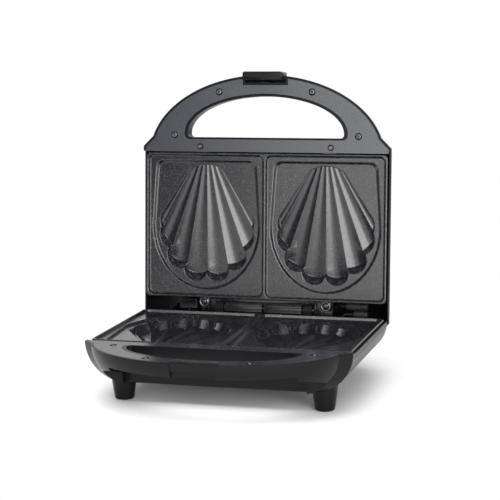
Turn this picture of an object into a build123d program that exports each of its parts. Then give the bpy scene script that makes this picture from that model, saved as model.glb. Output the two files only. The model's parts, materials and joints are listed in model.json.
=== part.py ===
from build123d import *
import math
import os

# Scallop sandwich maker with an arched grip handle on each half, modelled with its lid open.
# Working frame: X to the right, Y to the back, Z up, in mm. Z = 0 is the plane where the two plates meet
# when the lid is shut, and the hinge axis lies along X at Y = 0. "Reach" is the distance in front of the
# hinge axis, so a point at reach r has Y = -r. Lid pieces are drawn upside down, as on the base, then
# turned over and swung open. At the end everything moves so that the origin is under the middle of the
# open machine, at the level of the table.

# Plates
plate_width = 228.0
plate_length = 134.0
plate_reach = 8.3
plate_corner = 4.0
plate_gap = 0.6
plate_thickness = 5.5
plate_rim = 1.5
partition = 1.4
cell_depth = 2.5
cell_corner = 5.5
cell_draft = 34.0
bulge_depth = 14.6
bulge_wall = 2.5
bulge_ahead = 1.0

# Oval step in each cell, set back from the cell's walls
oval_depth = 2.1
oval_side = 3.9
oval_top_side = 7.8
oval_top_gap = 5.3
oval_middle_gap = 65.2
oval_low_gap = 5.4
oval_corner = 7.0
oval_inset = 2.2

# Fan of flutes in each cell: the apex is where all flutes would meet
fan_apex_ahead = 16.5
fan_side_gap = 6.5
fan_top_gap = 4.0
fan_top_radius = 29.6
fan_limit_width = 95.0
fan_limit_reach = 30.0
flute_start = 12.0
flute_half_chord = 0.1226
flute_depth = 0.0667
side_flute_half_chord = 0.06
side_flute_depth = 0.046
end_wall_lean = 0.85
end_wall_over = 0.4

# Rounded end of each flute. As parts of the fan's half width: where the flute points, the middle and the
# radius of its end. In mm: how far that middle lies in front of the oval's rear.
flute_ends = [
    (0.222, 0.231, 0.242, 18.8),
    (0.609, 0.574, 0.270, 31.5),
    (0.855, 0.699, 0.305, 50.3),
]
side_flute_end = (0.958, 0.716, 0.284, 62.8)

# Clearances shared by several pieces
part_gap = 0.3
press_gap = 0.02
fuse_overlap = 0.5

# Housing shells
wall = 2.0
rim_gap = 1.0
body_depth = 35.0
rim_drop = 3.0
handle_drop = 0.8
ear_ahead = 5.7
ear_step_ahead = 1.2
ear_step = 0.8
shoulder_width = 9.7
arch_centre_behind = 2.3
arch_bulge = 3.5
arch_semi_y = 73.6
belt_height = 13.0
belt_flat_behind = 16.6
belt_root_height = 24.0
recess_side = 37.0
recess_ahead = 5.2

# Handle opening, set back from the arch
hole_centre_ahead = 17.7
hole_straight = 3.5
hole_side = 37.0
hole_front_width = 19.6
hole_corner = 3.5
hole_wall_side = 3.0
hole_wall_top = 2.0
hole_wall_low = 1.2

# Handle panels
panel_thickness = 2.0
panel_gap = 0.2
panel_hole_gap = 0.4
handle_screw_front_x = 43.8
handle_screw_front_behind = 15.6
handle_screw_side = 20.4
handle_screw_rear_ahead = 16.1
handle_boss_diameter = 8.4
handle_head_diameter = 6.0
handle_head_height = 1.4
handle_shank_diameter = 3.0
handle_shank_length = 9.0
counterbore_gap = 0.5
panel_peg_x = 61.7
panel_peg_ahead = 5.7
panel_peg_diameter = 5.6
panel_peg_height = 0.9
panel_peg_stem = 2.6

# Hinge
hinge_z = 2.7
open_angle = 94.66
barrel_radius = 5.5
barrel_start = 1.0
barrel_end = 36.5
lug_start = 38.0
lug_width = 8.0
pin_radius = 1.5
pin_running_gap = 0.05
pin_head_radius = 2.6
pin_head_length = 1.0
rear_wall_back = -4.6
rear_wall_height = 14.5
ledge_back = 9.0
ledge_drop = 18.0
base_corner = 9.0
lid_back = 16.0
lid_back_height = 12.0
lid_corner = 8.5
stop_gap = 0.15
lug_foot_low = 9.0

# Hinge saddle inside the lid
saddle_spine_low = 10.2
saddle_spine_high = 13.2
saddle_half_length = 63.0
saddle_front_reach = 8.0
saddle_rear_reach = -7.0
saddle_ribs = [48.0, 54.0]
saddle_rib_thickness = 1.4
saddle_ridge_radius = 0.9
saddle_ridge_turns = [-153.0, -111.0, -69.0, -27.0]
saddle_web_front = 4.0
saddle_web_rear = -5.0
saddle_rib_half = 5.5
saddle_rib_low = 4.0
lug_screw_x = 58.0
lug_screw_reach = 3.8
lug_radius = 4.6
lug_level = 4.8
lug_thickness = 3.0
lug_head_diameter = 5.6
lug_head_height = 2.0
lug_shank_diameter = 3.0
lug_shank_length = 14.0

# Latch
latch_width = 36.0
latch_proud = 2.7
latch_thickness = 5.0
latch_top = 9.0
latch_low = 11.0
latch_tooth_height = 2.5
latch_tooth_length = 3.0
latch_groove_width = 1.8
latch_groove_depth = 1.6
latch_groove_end = 2.0
latch_pin_behind = 3.2
latch_pin_z = 5.0
latch_pin_radius = 1.25
latch_boss_radius = 2.6
latch_groove_front = 1.4
latch_corner = 1.2
latch_edge = 0.5
latch_hook_lead = 0.7
notch_gap = 1.0
notch_face_behind = 2.7
notch_slot_behind = 6.4
notch_face_depth = 8.0
lid_notch_behind = 7.0
lid_notch_depth = 11.0
spring_thickness = 0.3
spring_width = 8.0
spring_top = 10.0
spring_bow = 1.0
spring_bow_level = 1.2
spring_low = -0.4

# Feet
foot_side = 28.3
foot_behind = 11.3
rear_foot_x = 62.0
rear_foot_reach = 4.0
foot_top_radius = 11.0
foot_bottom_radius = 8.2
foot_height = 18.4
foot_rounding = 1.6
pad_radius = 5.8
pad_seat_depth = 1.6
pad_height = 2.2

# Heating and wiring
element_radius = 3.25
element_side = 34.0
element_front_behind = 42.3
element_rear_reach = 17.0
element_bend = 24.0
element_sink = 1.4
element_gap = 0.1
terminal_radius = 1.2
terminal_length = 8.0
clamp_width = 9.0
clamp_thickness = 1.0
clamp_flange = 5.0
clamp_reach = 60.0
reflector_side = 17.0
reflector_front_behind = 4.3
reflector_rear_ahead = 3.7
reflector_thickness = 0.6
reflector_share = 0.511
reflector_flange = 4.0
reflector_corner = 8.0
thermostat_radius = 8.0
thermostat_cap = 1.0
thermostat_gap = 0.85
thermostat_tab_start = 3.0
thermostat_tab_end = 12.0
thermostat_tab_half = 2.5
thermostat_reach = 62.0
fuse_radius = 2.2
fuse_length = 12.0
fuse_reach = 62.0
post_diameter = 9.0
post_front_behind = 14.3
post_rear_ahead = 11.7
post_screw_diameter = 4.0
post_head_diameter = 7.0
post_head_height = 2.2
post_screw_grip = 10.0
post_screw_gap = 0.2
tongue_x = 60.0
tongue_width = 12.0
tongue_length = 4.0
tongue_thickness = 2.0
rib_ahead = 2.3
rib_thickness = 1.6
gland_radius = 6.0
gland_flange_radius = 8.0
gland_flange = 2.0
gland_length = 11.0
gland_bore_radius = 3.6
gland_above_floor = 8.8
gland_inner_radius = 6.5
block_length = 32.0
block_width = 14.0
block_gap = 1.4
block_inboard = 46.0
block_reach = 26.0
wire_radius = 1.1
lid_wire_reach = -10.5
lid_wire_run = 8.0
probe_wire_run = 14.0
sleeve_radius = 3.4
sleeve_level = 9.0
sleeve_outboard = 33.0
upper_sleeve_length = 20.0
upper_sleeve_reach = 4.2
lower_sleeve_length = 13.0
lower_sleeve_reach = -3.0
left_sleeve_length = 17.0
left_sleeve_outboard = 20.0
left_sleeve_reach = 1.6
left_sleeve_height = 9.0
left_sleeve_depth = 7.0

# Lamps in the top of the lid
lamp_x = 9.0
lamp_reach = 112.0
lens_radius = 3.6
lens_flange_radius = 4.6
lens_proud = 1.0
lens_flange_thickness = 1.0
lens_gap = 0.1
bulb_radius = 2.2
bulb_gap = 0.4

# Derived places
half_plate = plate_width / 2
plate_front_reach = plate_reach + plate_length
half_width = half_plate + rim_gap + wall
plate_top = -plate_gap / 2
cell_floor = plate_top - cell_depth
oval_floor = cell_floor - oval_depth
bulge_floor = -bulge_depth
panel_top = -handle_drop
panel_floor = panel_top - panel_thickness
panel_rear_reach = plate_front_reach + rim_gap
cell_centre = (half_plate - plate_rim + partition / 2) / 2
half_cell = (half_plate - plate_rim - partition / 2) / 2
cell_front_reach = plate_front_reach - plate_rim
cell_rear_reach = plate_reach + plate_rim
oval_half_middle = half_cell - oval_side
oval_half_top = half_cell - oval_top_side
oval_top_reach = cell_front_reach - oval_top_gap
oval_middle_reach = cell_rear_reach + oval_middle_gap
oval_low_reach = cell_rear_reach + oval_low_gap
fan_apex_reach = oval_top_reach + fan_apex_ahead
fan_top_reach = oval_top_reach - fan_top_gap
fan_half_width = oval_half_middle - fan_side_gap
ear_reach = plate_front_reach + ear_ahead
ear_step_reach = plate_front_reach + ear_step_ahead
arch_half_width = half_width - shoulder_width
arch_centre_reach = plate_front_reach - arch_centre_behind
arch_semi_x = arch_half_width + arch_bulge
front_reach = arch_centre_reach + arch_semi_y
belt_flat_reach = front_reach - belt_flat_behind
recess_half_width = half_width - recess_side
recess_reach = plate_front_reach + recess_ahead
hole_centre_reach = plate_front_reach + hole_centre_ahead
hole_low_reach = hole_centre_reach - hole_straight
hole_semi_x = arch_semi_x - hole_side
hole_semi_y = front_reach - hole_front_width - hole_centre_reach
handle_screws = [
    (handle_screw_front_x, front_reach - handle_screw_front_behind),
    (arch_half_width - handle_screw_side, plate_front_reach + handle_screw_rear_ahead),
]
panel_peg_reach = plate_front_reach + panel_peg_ahead
base_corner_sum = half_width - base_corner
lid_corner_sum = half_width + lid_corner
latch_front_reach = front_reach + latch_proud
latch_tooth_reach = latch_front_reach - latch_thickness - latch_tooth_length
latch_pin_reach = front_reach - latch_pin_behind
notch_half_width = latch_width / 2 + notch_gap
notch_face_reach = front_reach - notch_face_behind
notch_slot_reach = front_reach - notch_slot_behind
lid_notch_reach = front_reach - lid_notch_behind
foot_x = half_width - foot_side
foot_reach = plate_front_reach - foot_behind
foot_level = body_depth + foot_height
foot_places = [(foot_x, foot_reach), (rear_foot_x, rear_foot_reach)]
element_x = half_plate - element_side
element_front_reach = plate_front_reach - element_front_behind
clamp_places = [(-element_x, clamp_reach), (element_x, clamp_reach)]
reflector_level = bulge_depth + reflector_share * (body_depth - wall - bulge_depth)
reflector_half_width = half_plate - reflector_side
reflector_front_reach = plate_front_reach - reflector_front_behind
reflector_rear_reach = plate_reach + reflector_rear_ahead
thermostat_height = reflector_level - bulge_depth - part_gap / 6 - thermostat_cap - thermostat_gap
thermostat_place = (cell_centre, thermostat_reach)
fuse_place = (-cell_centre, fuse_reach)
post_places = [(0.0, plate_front_reach - post_front_behind), (0.0, plate_reach + post_rear_ahead)]
rib_reach = plate_front_reach + rib_ahead
gland_level = body_depth - gland_above_floor
block_height = body_depth - wall - reflector_level - reflector_thickness - block_gap
block_place = (block_inboard - element_x, block_reach)
bulb_room = body_depth - wall - lens_flange_thickness - reflector_level - reflector_thickness
bulb_length = bulb_room - 2 * bulb_gap
sleeve_end = saddle_half_length + sleeve_outboard
right_sleeves = [
    (sleeve_end - upper_sleeve_length, sleeve_end, upper_sleeve_reach),
    (sleeve_end - lower_sleeve_length, sleeve_end, lower_sleeve_reach),
]
left_sleeve_end = -saddle_half_length - left_sleeve_outboard
left_sleeve = (left_sleeve_end, left_sleeve_end + left_sleeve_length, left_sleeve_reach)
post_low = -reflector_level - reflector_thickness - 0.1
far = 400.0


def at(x, reach, z):
    """Place of a point given by its distance in front of the hinge."""
    return Vector(x, -reach, z)


def box(x0, x1, reach0, reach1, z0, z1):
    """Block between two values of x, reach and z."""
    size = (abs(x1 - x0), abs(reach1 - reach0), abs(z1 - z0))
    middle = at((x0 + x1) / 2, (reach0 + reach1) / 2, (z0 + z1) / 2)
    return Pos(*middle) * Box(*size)


def post(x, reach, radius, z0, z1):
    """Upright cylinder between two levels."""
    return Pos(x, -reach, (z0 + z1) / 2) * Cylinder(radius, abs(z1 - z0))


def rod(x0, x1, reach, z, radius):
    """Cylinder along X between two places."""
    return Pos((x0 + x1) / 2, -reach, z) * Rot(0, 90, 0) * Cylinder(radius, abs(x1 - x0))


def side_prism(points, x0, x1):
    """Prism along X whose outline is given by (y, z) points."""
    outline = make_face(Polyline([(0, y, z) for y, z in points], close=True))
    return Pos(x0, 0, 0) * extrude(outline, amount=x1 - x0, dir=(1, 0, 0))


def plan_prism(face, z0, z1):
    """Prism of a plan outline between two levels."""
    return Pos(0, 0, z0) * extrude(face, amount=z1 - z0, dir=(0, 0, 1))


def both_sides(make):
    """The same piece on the left and on the right."""
    return make(1) + make(-1)


# Housing shells


def body_section(half, y, inset):
    """Cross-section of the body: flat floor and quarter-round sides as deep as the body."""
    radius = body_depth - inset
    side = half - inset
    flat = side - radius
    top = 4.0
    rim = Polyline((-side, 0), (-side, top), (side, top), (side, 0))
    right = CenterArc((flat, 0), radius, -90, 90)
    left = CenterArc((-flat, 0), radius, 180, 90)
    floor = Line((-flat, -radius), (flat, -radius))
    plane = Plane(origin=(0, y, 0), x_dir=(1, 0, 0), z_dir=(0, -1, 0))
    return plane * make_face([rim, right, floor, left])


def plain_block(back, inset):
    """Solid body: straight main part, 45 degree shoulders and the front that carries the arch."""
    start = shoulder_start(inset)
    end = shoulder_end(inset)
    main = extrude(body_section(half_width, -start, inset), amount=start + back - inset, dir=(0, 1, 0))
    narrow = body_section(arch_half_width, -end, inset)
    shoulder = loft([body_section(half_width, -start, inset), narrow], ruled=True)
    front = extrude(narrow, amount=arch_semi_y, dir=(0, -1, 0))
    ellipse = Pos(0, -arch_centre_reach) * Ellipse(arch_semi_x - inset, arch_semi_y - inset)
    dome = plan_prism(ellipse, -body_depth + inset, 4.0)
    dome = fillet(dome.edges().group_by(Axis.Z)[0], radius=body_depth - inset)
    return main + shoulder + (front & dome)


def grip_recess(inset):
    """Space under the handle where the fingers go: a flat roof that slopes down at both ends."""
    root = shoulder_end(inset)
    slope = (belt_root_height - belt_height) / (belt_flat_reach - shoulder_end(0))
    roof_z = -belt_height + inset
    root_z = -belt_root_height + slope * (root - shoulder_end(0)) + inset
    roof = [
        (-far, roof_z),
        (-belt_flat_reach, roof_z),
        (-root, root_z),
        (-root, -body_depth - 1),
        (-far, -body_depth - 1),
    ]
    side = recess_half_width + inset
    middle = box(-side, side, recess_reach - inset, far, roof_z, -far)
    return middle + side_prism(roof, -half_width, half_width)


def shoulder_start(inset):
    """Reach where the 45 degree shoulders begin."""
    return ear_reach - inset * (math.sqrt(2) - 1)


def shoulder_end(inset):
    """Reach where the shoulders end and the arch begins."""
    return shoulder_start(inset) + half_width - arch_half_width


def corner_cut(total, inset):
    """Everything behind the two 45 degree rear corners of the body."""
    reach = total - inset * math.sqrt(2)
    tip = Polyline((reach + far / 2, -far / 2), (far, -far / 2), (far, far), (reach - far, far), close=True)
    right = plan_prism(make_face(tip), -body_depth - 1, 5)
    return right + mirror(right, about=Plane.YZ)


def base_block(inset):
    """Solid shape of the base body: its rear wall ends in a ledge under the open lid."""
    block = plain_block(ledge_back, inset) - grip_recess(inset)
    wall_y = rear_wall_back - inset
    behind = [
        (wall_y, 10),
        (wall_y, -rear_wall_height - inset * 0.7),
        (ledge_back + 1, -ledge_drop - inset),
        (ledge_back + 1, 10),
    ]
    return block - side_prism(behind, -half_width - 1, half_width + 1) - corner_cut(base_corner_sum, inset)


def lid_block(inset):
    """Solid shape of the lid body, drawn upside down, with its rounded rear edge."""
    block = plain_block(lid_back, inset) - grip_recess(inset)
    back = lid_back - inset
    radius = body_depth - lid_back_height - inset
    centre_y = back - radius
    outline = [
        Polyline((0, -far, -body_depth + inset), (0, -far, 10), (0, back, 10), (0, back, -lid_back_height)),
        ThreePointArc(
            (0, back, -lid_back_height),
            (0, centre_y + radius * math.sqrt(0.5), -lid_back_height - radius * math.sqrt(0.5)),
            (0, centre_y, -lid_back_height - radius),
        ),
        Line((0, centre_y, -lid_back_height - radius), (0, -far, -body_depth + inset)),
    ]
    keep = Pos(-half_width - 1, 0, 0) * extrude(make_face(outline), amount=2 * half_width + 2, dir=(1, 0, 0))
    return (block & keep) - corner_cut(lid_corner_sum, inset)


def d_outline(semi_x, semi_y, low_reach, corner):
    """Outline of the handle opening: half an ellipse with short straight sides and rounded lower corners."""
    ellipse = Pos(0, -hole_centre_reach) * Ellipse(semi_x, semi_y)
    upper = ellipse & Pos(0, -hole_centre_reach - far / 2) * Rectangle(far, far)
    middle = (hole_centre_reach + low_reach) / 2
    lower = Pos(0, -middle) * Rectangle(2 * semi_x, hole_centre_reach - low_reach)
    outline = upper + lower
    corners = outline.vertices().filter_by(lambda v: v.Y > -low_reach - 0.01)
    return fillet(corners, radius=min(corner, hole_centre_reach - low_reach - 0.1))


def handle_tube():
    """Wall round the handle opening, before the opening itself is cut."""
    semi_x = hole_semi_x + hole_wall_side
    semi_y = hole_semi_y + hole_wall_top
    face = d_outline(semi_x, semi_y, hole_low_reach - hole_wall_low, hole_corner + hole_wall_low)
    return plan_prism(face, -body_depth, panel_top)


def handle_opening():
    """Cutter for the opening that the fingers go through."""
    face = d_outline(hole_semi_x, hole_semi_y, hole_low_reach, hole_corner)
    return plan_prism(face, -body_depth - 1, 5)


def rim_trim(back):
    """Cutter that lowers the body rim beside the plate, and the handle by a little less."""
    beside = box(-far, far, -back, ear_step_reach, -rim_drop, far)
    front = box(-far, far, ear_step_reach, far, -handle_drop, far)
    step = both_sides(lambda s: box(s * (half_width - ear_step), s * far, -far, ear_step_reach, -6.5, far))
    return beside + front + step


def handle_bosses():
    """Screw bosses of the handle panel, as long as the shell is deep there."""
    places = [(s * x, reach) for x, reach in handle_screws for s in (1, -1)]
    bosses = [post(x, reach, handle_boss_diameter / 2, -body_depth, panel_floor) for x, reach in places]
    return bosses[0] + bosses[1:]


def handle_boss_holes():
    """Pilot holes in the screw bosses."""
    radius = handle_shank_diameter / 2 + press_gap
    low = panel_floor - handle_shank_length
    holes = [post(s * x, reach, radius, low, panel_floor + 1) for x, reach in handle_screws for s in (1, -1)]
    return Compound(holes)


def front_rib():
    """Cross rib that carries the plate's front tongues."""
    top = plate_top - plate_thickness - part_gap
    side = recess_half_width
    return box(-side, side, rib_reach, rib_reach + rib_thickness, top, -body_depth + wall / 2)


def shell(outer, inner):
    """Hollow body with the handle tube, bosses and front rib added."""
    inside = handle_tube() + handle_bosses() + front_rib()
    return outer - inner + (inside & outer)


def foot_cone(x, reach, inset, low, high):
    """Cone of a foot between two levels, smaller by an inset."""
    flare = (foot_top_radius - foot_bottom_radius) / (foot_level - body_depth)
    low_radius = foot_bottom_radius + flare * (foot_level + low) - inset
    high_radius = foot_bottom_radius + flare * (foot_level + high) - inset
    return Pos(x, -reach, (low + high) / 2) * Cone(low_radius, high_radius, high - low)


def tapered_foot(x, reach, outer):
    """Outside of a foot that grows out of the body's floor."""
    cone = foot_cone(x, reach, 0, -foot_level, -body_depth / 2)
    cone = fillet(cone.edges().sort_by(Axis.Z)[0], radius=foot_rounding)
    return cone - outer


def foot_hollow(x, reach):
    """Seat of a foot's pad and the hollow above it, which opens into the body."""
    seat = post(x, reach, pad_radius, -foot_level - 1, -foot_level + pad_seat_depth)
    return seat + foot_cone(x, reach, wall, -foot_level + pad_seat_depth + wall, -body_depth + 2 * wall)


def base_housing_shape():
    """Lower body with feet, hinge lugs, latch notch and cord hole."""
    outer = base_block(0)
    inner = base_block(wall)
    feet = [(s * x, reach) for x, reach in foot_places for s in (1, -1)]
    body = shell(outer, inner)
    for x, reach in feet:
        body += tapered_foot(x, reach, outer)
        body -= foot_hollow(x, reach)
    for x, reach in post_places:
        body += post(x, reach, post_diameter / 2, -body_depth + wall / 2, post_low)
        body -= post(x, reach, post_screw_diameter / 2 + post_screw_gap, -body_depth - 1, 0)
        head_radius = post_head_diameter / 2 + post_screw_gap
        body -= post(x, reach, head_radius, -body_depth - 1, -body_depth + post_head_height)
    pocket_side = notch_half_width + wall
    pocket = box(-pocket_side, pocket_side, notch_slot_reach - wall, far, panel_top, -belt_height)
    body += pocket & outer
    body -= base_notch()
    body -= handle_opening() + rim_trim(ledge_back + 1) + handle_boss_holes()
    body += side_lug(1) + side_lug(-1)
    body -= Pos(0, ledge_back, -gland_level) * Rot(90, 0, 0) * Cylinder(gland_radius, 4 * wall)
    return body


def side_lug(s):
    """Hinge lug that rises from the base's rear wall."""
    middle = lug_start + lug_width / 2
    ring = Pos(0, hinge_z) * Circle(barrel_radius)
    foot = Line((rear_wall_back - wall / 2, -rim_drop), (rear_wall_back - wall / 2, -lug_foot_low))
    profile = make_hull(ring.edges() + [foot])
    plane = Plane(origin=(s * middle - lug_width / 2, 0, 0), x_dir=(0, 1, 0), z_dir=(1, 0, 0))
    lug = extrude(plane * profile, amount=lug_width, dir=(1, 0, 0))
    hole = rod(s * middle - lug_width, s * middle + lug_width, 0, hinge_z, pin_radius + press_gap)
    return lug - hole


def base_notch():
    """Recess in the front of the base that the latch drops into, undercut for its tooth."""
    face = box(-notch_half_width, notch_half_width, notch_face_reach, far, 5, -notch_face_depth)
    low = -belt_height - 1
    slot = box(-notch_half_width, notch_half_width, notch_slot_reach, far, -notch_face_depth, low)
    return face + slot


def lid_notch():
    """Recess in the front of the lid that holds the latch, drawn upside down."""
    return box(-notch_half_width, notch_half_width, lid_notch_reach, far, 5, -lid_notch_depth)


def lid_housing_shape():
    """Upper body, drawn upside down, with its latch recess, lamp holes and rear wall."""
    outer = lid_block(0)
    inner = lid_block(wall)
    lip = lid_lip()
    body = shell(outer, inner)
    pocket_side = notch_half_width + wall
    pocket = box(-pocket_side, pocket_side, lid_notch_reach - wall, far, panel_top, -belt_height)
    body += pocket & outer
    body -= lid_notch()
    pin_length = notch_half_width + wall + 1
    body -= rod(-pin_length, pin_length, latch_pin_reach, -latch_pin_z, latch_pin_radius + press_gap)
    body -= handle_opening() + rim_trim(lid_back - wall) + handle_boss_holes()
    body -= box(-far, far, -lid_back + wall + 0.001, -far, lip, far)
    level = lug_level + lug_thickness
    for s in (1, -1):
        boss = post(s * lug_screw_x, lug_screw_reach, lug_radius, -level, -body_depth + wall / 2)
        body += boss & outer
        low = -lug_level - lug_shank_length
        body -= post(s * lug_screw_x, lug_screw_reach, lug_shank_diameter / 2 + press_gap, -level + 1, low)
        body -= post(s * lamp_x, lamp_reach, lens_radius + lens_gap, -body_depth - 1, -body_depth + wall + 1)
    for x, reach in post_places:
        body += post(x, reach, post_diameter / 2, -body_depth + wall / 2, post_low)
    return body


def lid_lip():
    """Height of the lid's rear wall edge that meets the base when the lid is open."""
    angle = math.radians(open_angle)
    wanted = rear_wall_back + stop_gap
    return -(hinge_z + (wanted - lid_back * math.cos(angle)) / math.sin(angle))


# Plates


def plate_outline(inset):
    """Rounded outline of a plate, smaller by an inset."""
    width = plate_width - 2 * inset
    length = plate_length - 2 * inset
    centre = plate_reach + plate_length / 2
    return Pos(0, -centre) * RectangleRounded(width, length, max(plate_corner - inset, 1))


def oval_outline(inset):
    """Step inside a cell: straight front edge, rounded towards the hinge, centred on x = 0."""
    low = oval_middle_reach - oval_low_reach - inset
    middle = oval_half_middle - inset
    lower = Ellipse(middle, low) & Pos(0, far / 2) * Rectangle(far, far)
    top = oval_top_reach - oval_middle_reach - inset
    half_top = oval_half_top - inset
    upper = make_face(Polyline((-middle, 0), (middle, 0), (half_top, -top), (-half_top, -top), close=True))
    upper = fillet(upper.vertices().filter_by(lambda v: v.Y < -1), radius=oval_corner)
    return Pos(0, -oval_middle_reach) * (upper + lower)


def flute(end, half_chord, depth):
    """One trough of the fan: a slim cone whose far end climbs out on a leaning round wall."""
    aim_x = end[0] * fan_half_width
    end_x = end[1] * fan_half_width
    end_radius = end[2] * fan_half_width
    end_y = fan_apex_reach - oval_low_reach - end[3]
    radius = (half_chord ** 2 + depth ** 2) / (2 * depth)
    lift = radius - depth
    finish = 1.3 * end_y
    axis = Vector(aim_x, end_y, lift * math.hypot(aim_x, end_y)).normalized()
    cone_plane = Plane(origin=axis * flute_start, z_dir=axis)
    upwards = (Align.CENTER, Align.CENTER, Align.MIN)
    cone = Cone(radius * flute_start, radius * finish, finish - flute_start, align=upwards)
    share = flute_start / end_y
    tip = Pos(share * end_x, flute_start) * Circle(share * end_radius)
    lobe = Pos(end_x, end_y) * Circle(end_radius)
    outline = make_hull(tip.edges() + lobe.edges())
    inwards = Vector(-end_x, -end_y, 0).normalized() * end_wall_lean
    down = Vector(inwards.X, inwards.Y, -1)
    high = down * -end_wall_over
    limit = extrude(Pos(*high) * outline, amount=bulge_depth * down.length, dir=down)
    return (cone_plane * cone) & limit


def fan_cutter():
    """All flutes of one fan, rounded off at the narrow end, centred on x = 0 at the oval's floor."""
    half = None
    for end in flute_ends:
        trough = flute(end, flute_half_chord, flute_depth)
        half = trough if half is None else half + trough
    half += flute(side_flute_end, side_flute_half_chord, side_flute_depth)
    fan = half + mirror(half, about=Plane.YZ)
    fan = Pos(0, -fan_apex_reach, oval_floor) * fan
    circle = Pos(0, -fan_top_reach + fan_top_radius) * Circle(fan_top_radius)
    side = fan_limit_width
    spread = Polyline((-side, -fan_limit_reach), (-side, far / 8), (side, far / 8), (side, -fan_limit_reach))
    limit = make_hull(circle.edges() + spread.edges())
    return fan & plan_prism(limit, -bulge_depth, 1)


def bulge_outline():
    """Outline of the thick part under a fan, where the heating tube is clamped."""
    small = Pos(0, -fan_top_reach + fan_top_radius) * Circle(fan_top_radius + bulge_wall)
    low = oval_low_reach + oval_half_middle
    large = Pos(0, -low - bulge_ahead) * Circle(oval_half_middle + bulge_wall - bulge_ahead)
    return make_hull(small.edges() + large.edges())


def element_line():
    """Centre line of the heating tube."""
    z = bulge_floor - element_radius + element_sink
    corners = [
        at(-element_x, element_rear_reach, z),
        at(-element_x, element_front_reach, z),
        at(element_x, element_front_reach, z),
        at(element_x, element_rear_reach, z),
    ]
    return FilletPolyline(*corners, radius=element_bend)


def tube_along(line, radius):
    """Round tube along a line."""
    section = Plane(origin=line @ 0, z_dir=line % 0) * Circle(radius)
    return sweep(section, path=line)


def plate_shape(rear_lugs):
    """Cast plate with two cells, each with an oval step and a fan of flutes."""
    floor = plate_top - plate_thickness
    plate = plan_prism(plate_outline(0), floor, plate_top)
    plate = chamfer(plate.edges().group_by(Axis.Z)[-1], length=0.5)
    cell_length = plate_length - 2 * plate_rim
    cell_middle = plate_reach + plate_length / 2
    fan = fan_cutter()
    for s in (1, -1):
        x = s * cell_centre
        plate += plan_prism(Pos(x, 0) * bulge_outline(), bulge_floor, floor + 0.5)
    for s in (1, -1):
        x = s * cell_centre
        top = Pos(x, -cell_middle, plate_top) * RectangleRounded(2 * half_cell, cell_length, cell_corner)
        plate -= extrude(top, amount=-cell_depth, taper=cell_draft)
        upper_edge = Pos(x, 0, cell_floor + 0.01) * oval_outline(0)
        lower_edge = Pos(x, 0, oval_floor) * oval_outline(oval_inset)
        plate -= loft([upper_edge.face(), lower_edge.face()], ruled=True)
        plate -= Pos(x, 0, 0) * fan
    groove = tube_along(element_line(), element_radius + element_gap)
    plate -= groove
    for s in (1, -1):
        tongue_front = plate_front_reach + tongue_length
        x0 = s * tongue_x - tongue_width / 2
        x1 = x0 + tongue_width
        plate += box(x0, x1, plate_front_reach - 2, tongue_front, floor, floor + tongue_thickness)
    for x, reach in post_places:
        plate += post(x, reach, post_diameter / 2, floor + 0.5, -reflector_level)
        plate -= post(x, reach, post_screw_diameter / 2 + press_gap, floor + 1.5, -reflector_level - 1)
    if rear_lugs:
        plate = with_rear_lugs(plate)
    return plate


def with_rear_lugs(plate):
    """Adds the two screw lugs behind the lid plate's rear edge."""
    for s in (1, -1):
        x = s * lug_screw_x
        low = -lug_level - lug_thickness
        plate += post(x, lug_screw_reach, lug_radius, low, -lug_level + lug_head_height)
        plate += box(x - lug_radius, x + lug_radius, lug_screw_reach, plate_reach + 2, low, -lug_level + 0.5)
        plate -= post(x, lug_screw_reach, lug_head_diameter / 2 + 0.15, -lug_level, 1)
        plate -= post(x, lug_screw_reach, lug_shank_diameter / 2 + 0.1, low - 1, 0)
    return plate


# Heating parts


def element_shape():
    """Bent tubular heating element with its two terminal pins."""
    line = element_line()
    tube = tube_along(line, element_radius)
    z = bulge_floor - element_radius + element_sink
    for s in (1, -1):
        start = Vector(s * element_x, -element_rear_reach, z)
        middle = start + Vector(0, terminal_length / 2, 0)
        tube += Pos(*middle) * Rot(90, 0, 0) * Cylinder(terminal_radius, terminal_length)
    return tube


def clamp_shapes():
    """Omega clamps that hold the heating tube against the plate, with their small screws' heads left out."""
    z = bulge_floor - element_radius + element_sink
    inner = element_radius + element_gap
    outer = inner + clamp_thickness
    ring = Pos(0, z) * Circle(outer)
    flat = Pos(0, bulge_floor - clamp_thickness / 2) * Rectangle(2 * (outer + clamp_flange), clamp_thickness)
    above = Pos(0, bulge_floor + far / 2) * Rectangle(far, far)
    profile = ring + flat - Pos(0, z) * Circle(inner) - above
    clamps = []
    for x, reach in clamp_places:
        plane = Plane(origin=(x, -reach + clamp_width / 2, 0), x_dir=(1, 0, 0), z_dir=(0, -1, 0))
        clamps.append(extrude(plane * profile, amount=clamp_width, dir=(0, -1, 0)))
    return Compound(clamps)


def reflector_shape():
    """Pressed sheet tray between the heating tube and the housing."""
    width = 2 * reflector_half_width
    length = reflector_front_reach - reflector_rear_reach
    centre = (reflector_front_reach + reflector_rear_reach) / 2
    outline = Pos(0, -centre) * RectangleRounded(width, length, reflector_corner)
    height = reflector_thickness + reflector_flange
    low = -reflector_level - reflector_thickness
    tray = plan_prism(outline, low, low + height)
    t = reflector_thickness
    hollow = Pos(0, -centre) * RectangleRounded(width - 2 * t, length - 2 * t, reflector_corner - t)
    tray -= plan_prism(hollow, -reflector_level, far)
    for x, reach in post_places:
        tray -= post(x, reach, post_screw_diameter / 2 + post_screw_gap, low - 1, 0)
    return tray


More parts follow.
